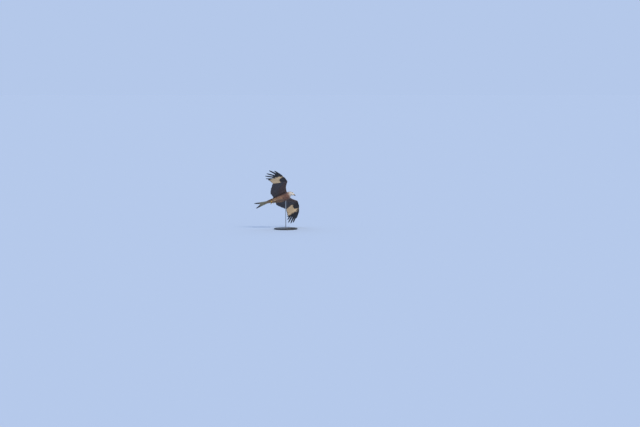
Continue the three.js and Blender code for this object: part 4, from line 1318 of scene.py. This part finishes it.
def toe_and_claw(made, side, toe, root, horn):
    """Adds one toe to a foot, and makes the claw at its end"""
    turn = math.radians(toe["turn"] * SIDES[side])
    level = np.array((-math.cos(turn), -math.sin(turn), 0))
    left = np.array((math.sin(turn), -math.cos(turn), 0))
    run = curl_line(root, level, toe["length"], toe["lean"], toe["curl"], 48)
    t = np.linspace(0, 1, len(run))
    ridges = scutes(t, toe["length"] / SCUTE_LONG, 0.07 * (t < 0.97))
    limb_rings(made, run, toe["radius"] * (1.12 - 0.2 * t) * ridges, 18, left)
    claw = curl_line(run[-1], level, toe["claw"], toe["lean"] + toe["curl"], CLAW_CURL, 20)
    radii = smooth_at(CLAW_RADII, np.linspace(0, 1, len(claw)))
    name = "claw_" + side + "_" + toe["name"]
    piece = piece_from(limb_rings(bmesh.new(), claw, radii, 16, left), name + "_horn", horn, "claw_horn")
    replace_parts(piece, name)


def display_base(paintwork):
    """The round base, turned from its outline, with rounded edges"""
    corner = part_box("stand_base")[1]
    radius, top, rim, foot_rim = corner.x, corner.z, STAND["rim"], STAND["foot_rim"]
    outline = [(0, 0), (radius - foot_rim, 0), (radius, foot_rim), (radius, top - rim)]
    outline += [(radius - rim * (1 - math.sin(a)), top - rim * (1 - math.cos(a))) for a in STAND["turns"]]
    outline += [(STAND["middle"], top), (0, top)]
    made = bmesh.new()
    verts = [made.verts.new((x, 0, z)) for x, z in outline]
    edges = [made.edges.new(pair) for pair in zip(verts, verts[1:])]
    spin = {"cent": (0, 0, 0), "axis": (0, 0, 1), "angle": 2 * math.pi, "steps": 160, "use_merge": True}
    bmesh.ops.spin(made, geom=verts + edges, **spin)
    return piece_from(made, "display_base", paintwork, "stand_base")


def display_rod(steel):
    """The round rod, which runs on a little way into the belly"""
    low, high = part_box("stand_rod")
    long = high.z - low.z + STAND["sunk"]
    made = bmesh.new()
    bmesh.ops.create_cone(made, cap_ends=True, segments=64, radius1=high.x, radius2=high.x, depth=long)
    bmesh.ops.translate(made, verts=made.verts, vec=(0, 0, low.z + long / 2))
    return piece_from(made, "display_rod", steel, "stand_rod")


def stand(paintwork, steel):
    """The plain display stand that holds the bird"""
    base, rod = display_base(paintwork), display_rod(steel)
    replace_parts(base, "stand_base")
    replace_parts(rod, "stand_rod")
    for piece in (base, rod):
        piece.data.set_sharp_from_angle(angle=math.radians(35))


# Finishes


class Signal:
    """A number that varies over a surface. Expressions on it add Math nodes."""

    def __init__(self, finish, socket):
        self.finish = finish
        self.socket = socket

    def math(self, operation, *others):
        values = dict(enumerate((self, *others)))
        return self.finish.node("ShaderNodeMath", {"operation": operation}, values)[0]

    def __add__(self, other):
        return self.math("ADD", other)

    def __mul__(self, other):
        return self.math("MULTIPLY", other)

    def __sub__(self, other):
        return self.math("SUBTRACT", other)

    def __rsub__(self, other):
        return (self * -1) + other

    __radd__ = __add__
    __rmul__ = __mul__

    def sine(self):
        return self.math("SINE")

    def size(self):
        return self.math("ABSOLUTE")

    def held(self, low=0.0, high=1.0):
        return self.math("MAXIMUM", low).math("MINIMUM", high)

    def step(self, low, high):
        """Goes smoothly from 0 at low to 1 at high"""
        settings = {"interpolation_type": "SMOOTHSTEP"}
        values = {"Value": self, "From Min": low, "From Max": high, "To Min": 0.0, "To Max": 1.0}
        return self.finish.node("ShaderNodeMapRange", settings, values)[0]


class Finish:
    """A material built round one Principled BSDF"""

    def __init__(self, name, **constants):
        self.material = bpy.data.materials.new(name)
        self.material.use_nodes = True
        self.tree = self.material.node_tree
        self.bsdf = self.tree.nodes["Principled BSDF"]
        for key, value in constants.items():
            self.bsdf.inputs[key.replace("_", " ")].default_value = value

    def node(self, kind, settings=None, values=None):
        """Adds any node: its settings first, then the values or links of its sockets. Returns its outputs."""
        made = self.tree.nodes.new(kind)
        for key, value in (settings or {}).items():
            if key == "stops":
                self.set_stops(made.color_ramp, value)
            else:
                setattr(made, key, value)
        for key, value in (values or {}).items():
            self.feed(made.inputs[key], value)
        return [Signal(self, socket) for socket in made.outputs]

    @staticmethod
    def set_stops(ramp, stops):
        while len(ramp.elements) < len(stops):
            ramp.elements.new(1)
        for element, (place, colour) in zip(ramp.elements, stops):
            element.position = place
            element.color = (*colour, 1)

    def feed(self, socket, value):
        if isinstance(value, Signal):
            self.tree.links.new(value.socket, socket)
        elif isinstance(value, np.ndarray) and socket.type == "RGBA":
            socket.default_value = (*value, 1)
        else:
            socket.default_value = value

    def attribute(self, name, output=0):
        return self.node("ShaderNodeAttribute", {"attribute_name": name})[output]

    def place(self):
        return self.node("ShaderNodeTexCoord")[3]

    def distance_along(self, axis, origin):
        """How many millimetres a point lies from a place along an axis of the bird"""
        away = self.node("ShaderNodeVectorMath", {"operation": "SUBTRACT"}, {0: self.place(), 1: origin})[0]
        settings = {"operation": "DOT_PRODUCT"}
        return self.node("ShaderNodeVectorMath", settings, {0: away, 1: axis})[1] * (1 / MM)

    def noise(self, scale, detail=3.0, stretch=None, roughness=0.5):
        where = self.place()
        if stretch:
            where = self.node("ShaderNodeMapping", None, {"Vector": where, "Scale": stretch})[0]
        values = {"Vector": where, "Scale": scale, "Detail": detail, "Roughness": roughness}
        return self.node("ShaderNodeTexNoise", None, values)[0]

    def blend(self, a, b, factor, how="MIX"):
        settings = {"data_type": "RGBA", "blend_type": how}
        return self.node("ShaderNodeMix", settings, {0: factor, 6: a, 7: b})[2]

    def bump(self, height, strength, distance=0.001):
        values = {"Height": height, "Strength": strength, "Distance": distance}
        return self.node("ShaderNodeBump", None, values)[0]

    def wear(self, **sockets):
        for key, value in sockets.items():
            self.feed(self.bsdf.inputs[key.replace("_", " ")], value)
        return self.material


def feather_finish(name, barbs, tufts, lean, streak, shaft):
    """Feathers: an edge colour, a core colour along the shaft, barbs that lean to the tip, and a soft sheen.
    Barbs and their tufts are counted along a vane, streak is the core's width, shaft its line's weight."""
    finish = Finish(name, Sheen_Weight=0.12, Sheen_Roughness=0.5, Specular_IOR_Level=0.3)
    where = finish.node("ShaderNodeUVMap", {"uv_map": "Vane"})[0]
    across, along, _ = finish.node("ShaderNodeSeparateXYZ", None, {0: where})
    off = ((across - 0.5) * 2).size()
    taper = 1 - along * 0.45
    core = (1 - off.step(taper * (streak * 0.3), taper * streak)) * along.step(0.02, 0.35)
    slant = along - off * lean
    barb = (slant * (2 * math.pi * barbs)).sine() * 0.5 + 0.5
    grain = finish.noise(900, 2.0)
    patchy = finish.noise(55, 4.0)
    parted = slant * tufts + across.step(0.49, 0.51) * 7 + finish.noise(30, 0.0) * 4
    values = {"W": parted, "Scale": 1, "Detail": 3}
    clumps = finish.node("ShaderNodeTexNoise", {"noise_dimensions": "1D"}, values)[0]
    light = 0.55 + barb * 0.14 + grain * 0.12 + patchy * 0.12 + clumps * 0.6
    grey = finish.node("ShaderNodeCombineColor", None, {0: light, 1: light, 2: light})[0]
    colour = finish.blend(finish.attribute("edge"), finish.attribute("core"), core)
    colour = finish.blend(colour, grey, 1.0, "MULTIPLY")
    line = (1 - off.step(0.0, 0.07)) * shaft * (1 - along.step(0.75, 1.0))
    colour = finish.blend(colour, paint("2a1f19"), line)
    height = barb * 0.4 + grain * 0.4 + clumps * 2.2 + (1 - off.step(0.0, 0.12)) * 1.2 * shaft
    rough = 0.55 + patchy * 0.15 + barb * 0.06
    return finish.wear(Base_Color=colour, Roughness=rough, Normal=finish.bump(height, 0.35, 0.0004))


def skin_finish():
    finish = Finish("skin_under_feathers", Sheen_Weight=0.1)
    mottle = finish.noise(160, 5.0)
    colour = finish.blend(finish.attribute("tint"), paint("1c1411"), mottle.step(0.35, 0.75) * 0.45)
    return finish.wear(Base_Color=colour, Roughness=0.8 + mottle * 0.1, Normal=finish.bump(mottle, 0.5))


def claw_finish():
    """Black horn, a little browner in streaks"""
    finish = Finish("claw_horn", Specular_IOR_Level=0.55)
    streaks = finish.noise(260, 4.0)
    chips = finish.noise(1400, 2.0)
    colour = finish.blend(paint("231f1e"), paint("0e0d0d"), streaks.step(0.3, 0.7))
    bumps = finish.bump(streaks + chips * 0.3, 0.12)
    return finish.wear(Base_Color=colour, Roughness=0.2 + streaks * 0.16 + chips * 0.06, Normal=bumps)


def bill_finish(name, root, base, tip, end):
    """The bill's horn, with a paler root that ends so many millimetres before the head's middle"""
    finish = Finish(name, Specular_IOR_Level=0.55)
    streaks = finish.noise(260, 4.0, (1, 1, 0.25))
    chips = finish.noise(1400, 2.0)
    forward = finish.distance_along(ATTITUDE @ HEAD_AXES[0], to_world(HEAD_ORIGIN))
    dark = finish.blend(base, tip, streaks.step(0.3, 0.7))
    colour = finish.blend(root, dark, (forward + streaks * 3.0).step(end - 2.5, end + 3.5))
    rough = 0.24 + streaks * 0.16 + chips * 0.06
    bumps = finish.bump(streaks + chips * 0.3, 0.12)
    return finish.wear(Base_Color=colour, Roughness=rough, Coat_Weight=streaks * 0.2, Normal=bumps)


def cere_finish():
    """Waxy yellow skin, stained in places, with painted shade in the nostrils"""
    finish = Finish("yellow_cere", Subsurface_Weight=0.12, Subsurface_Scale=0.002)
    pores = finish.noise(1100)
    stain = finish.noise(220, 4.0)
    colour = finish.blend(paint("e0aa2c"), paint("b47c20"), stain.step(0.45, 0.8))
    # painted shade: dark brown deep in each nostril's pit, following the mark pressed in with it
    colour = finish.blend(colour, paint("2a1c0c"), finish.attribute("pit", 2).step(0.25, 0.75))
    bumps = finish.bump(pores, 0.18, 0.0004)
    return finish.wear(Base_Color=colour, Roughness=0.42 + pores * 0.14, Normal=bumps)


def lid_finish():
    finish = Finish("bare_lid_skin")
    wrinkles = finish.noise(900, 4.0)
    colour = finish.blend(paint("6d645a"), paint("3d362f"), wrinkles.step(0.3, 0.7))
    bumps = finish.bump(wrinkles, 0.3, 0.0004)
    return finish.wear(Base_Color=colour, Roughness=0.5 + wrinkles * 0.1, Normal=bumps)


def scaly_finish():
    """Yellow skin in small scales, darker along the grooves between them and in patches of dirt"""
    finish = Finish("yellow_scaly_skin", Subsurface_Weight=0.08, Subsurface_Scale=0.0015)
    where = {"Vector": finish.place(), "Scale": 620}
    cells = finish.node("ShaderNodeTexVoronoi", {"feature": "DISTANCE_TO_EDGE"}, where)[0]
    dirt = finish.noise(180, 4.0)
    # darker along the grooves between the scales, and where the dirt noise is high
    grooves_and_dirt = (1 - cells.step(0.0, 0.12)) * 0.55 + dirt.step(0.5, 0.8) * 0.3
    colour = finish.blend(paint("e2b233"), paint("8a5d18"), grooves_and_dirt.held())
    bumps = finish.bump(cells.step(0, 0.2) + dirt * 0.2, 0.45, 0.0005)
    return finish.wear(Base_Color=colour, Roughness=0.5 + dirt * 0.14, Normal=bumps)


def eye_finish():
    """A pale yellow iris with darker spokes round a black pupil, under a wet surface"""
    finish = Finish("eye_iris", Coat_Roughness=0.02, IOR=1.38)
    ring = finish.attribute("ring", 2)
    spokes = finish.noise(2600, 3.0)
    stops = [
        (0.0, paint("050404")),
        (0.31, paint("060505")),
        (0.345, paint("7a5a22")),
        (0.42, paint("d2b25c")),
        (0.62, paint("dcc98a")),
        (0.7, paint("8a6a34")),
        (0.76, paint("1a1512")),
        (1.0, paint("15110f")),
    ]
    colour = finish.node("ShaderNodeValToRGB", {"stops": stops}, {0: ring})[0]
    colour = finish.blend(colour, paint("3a2a14"), spokes.step(0.5, 0.8) * 0.35)
    return finish.wear(Base_Color=colour, Roughness=0.08 + spokes * 0.04, Coat_Weight=1 - ring * 0.1)


def base_finish():
    """Satin black paint with a faint orange peel and dust"""
    finish = Finish("satin_black_paint", Specular_IOR_Level=0.5)
    dust = finish.noise(22, 5.0)
    colour = finish.blend(paint("232322"), paint("343331"), dust.step(0.4, 0.75))
    peel = finish.bump(finish.noise(420, 2.0), 0.06, 0.0004)
    return finish.wear(Base_Color=colour, Roughness=0.36 + dust * 0.16, Normal=peel)


def rod_finish():
    """Brushed steel, its brushing round the rod"""
    finish = Finish("brushed_steel")
    brushed = finish.noise(160, 4.0, (1, 1, 22))
    colour = finish.blend(paint("b6b8ba"), paint("8e9093"), brushed)
    rough = 0.26 + brushed * 0.12 + finish.noise(18, 4.0) * 0.08
    metal = 0.95 + brushed * 0.05
    bumps = finish.bump(brushed, 0.05, 0.0003)
    return finish.wear(Base_Color=colour, Metallic=metal, Roughness=rough, Normal=bumps)


def studio():
    """Floor, light and the camera at the photograph's angle and framing"""
    made = bmesh.new()
    bmesh.ops.create_grid(made, x_segments=1, y_segments=1, size=FLOOR_HALF)
    mesh = bpy.data.meshes.new("floor")
    made.to_mesh(mesh)
    made.free()
    floor = bpy.data.objects.new("floor", mesh)
    bpy.context.scene.collection.objects.link(floor)
    lit = sum(sun(*light) for light in SUNS)
    ground = Finish("pale_floor", Roughness=1.0, Specular_IOR_Level=0.0)
    mesh.materials.append(ground.wear(Base_Color=BACKDROP / (BACKDROP + lit)))
    world = bpy.data.worlds.new("soft_studio")
    bpy.context.scene.world = world
    world.use_nodes = True
    world.node_tree.nodes["Background"].inputs[0].default_value = (*BACKDROP, 1)
    bpy.context.scene.view_settings.view_transform = "Standard"
    camera()


def sun(name, way, strength, soft, colour):
    """Adds a sun, and returns the light that the floor gets from it"""
    light = bpy.data.lights.new(name, "SUN")
    light.energy = strength
    light.angle = math.radians(soft)
    light.color = colour
    holder = bpy.data.objects.new(name, light)
    holder.rotation_euler = Vector(way).to_track_quat("-Z", "Y").to_euler()
    bpy.context.scene.collection.objects.link(holder)
    return np.array(colour) * strength * max(0, -Vector(way).normalized().z) / math.pi


def camera():
    drop = math.radians(CAMERA_DROP)
    ahead = Vector((0, math.cos(drop), -math.sin(drop)))
    up = Vector((0, math.sin(drop), math.cos(drop)))
    middle = Vector(BIRD_PLACE * MM) + Vector((VIEW_MIDDLE[0], 0, 0)) + up * VIEW_MIDDLE[1]
    lens = bpy.data.cameras.new("camera")
    lens.sensor_width = SENSOR
    lens.lens = SENSOR * CAMERA_FAR / VIEW_WIDE
    lens.clip_end = VIEW_END
    holder = bpy.data.objects.new("camera", lens)
    holder.location = middle - ahead * CAMERA_FAR
    holder.rotation_euler = ahead.to_track_quat("-Z", "Y").to_euler()
    bpy.context.scene.collection.objects.link(holder)
    bpy.context.scene.camera = holder


def dress():
    """The skin and every coat of feathers"""
    flight = feather_finish("flight_feather", 260, 75, 0.175, 0.1, 0.7)
    covert = feather_finish("covert_feather", 70, 22, 0.2, 0.8, 0.5)
    body = feather_finish("body_feather", 55, 20, 0.4, 0.4, 0.3)
    small = feather_finish("head_feather", 28, 10, 0.5, 0.3, 0.2)
    wings = ["wing_" + side + part for side in SIDES for part in ("_arm", "_hand")]
    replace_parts(skin(skin_finish()), "torso", "neck", "head", "leg_left", "leg_right", "tail", *wings)
    fine, large = body_coat()
    fine.finish(small, "head_plumage")
    large.finish(body, "body_plumage")
    for side in SIDES:
        wing_flights(side).finish(flight, "flight_feathers")
        wing_coverts(side, 1).finish(covert, "flight_feathers")
        wing_coverts(side, -1).finish(covert, "flight_feathers")
        thigh_coat(side).finish(body, "body_plumage")
        seam_coat(side).finish(body, "body_plumage")
        edge_coat(side).finish(covert, "flight_feathers")
    tail_feathers().finish(flight, "tail_feathers")
    tail_coverts().finish(covert, "tail_feathers")


def bare_parts():
    """Bill, cere, eyes, feet and claws"""
    dark, black = paint("3a3735"), paint("191817")
    upper = bill_finish("upper_bill_horn", paint("5c5546"), dark, black, 38.5)
    lower = bill_finish("lower_bill_horn", paint("a98c46"), dark, black, 35.0)
    bill(upper, lower, cere_finish())
    lid, iris, scales, claw = lid_finish(), eye_finish(), scaly_finish(), claw_finish()
    for side in SIDES:
        eye(side, iris, lid)
        foot(side, scales, claw)


dress()
bare_parts()
stand(base_finish(), rod_finish())
studio()
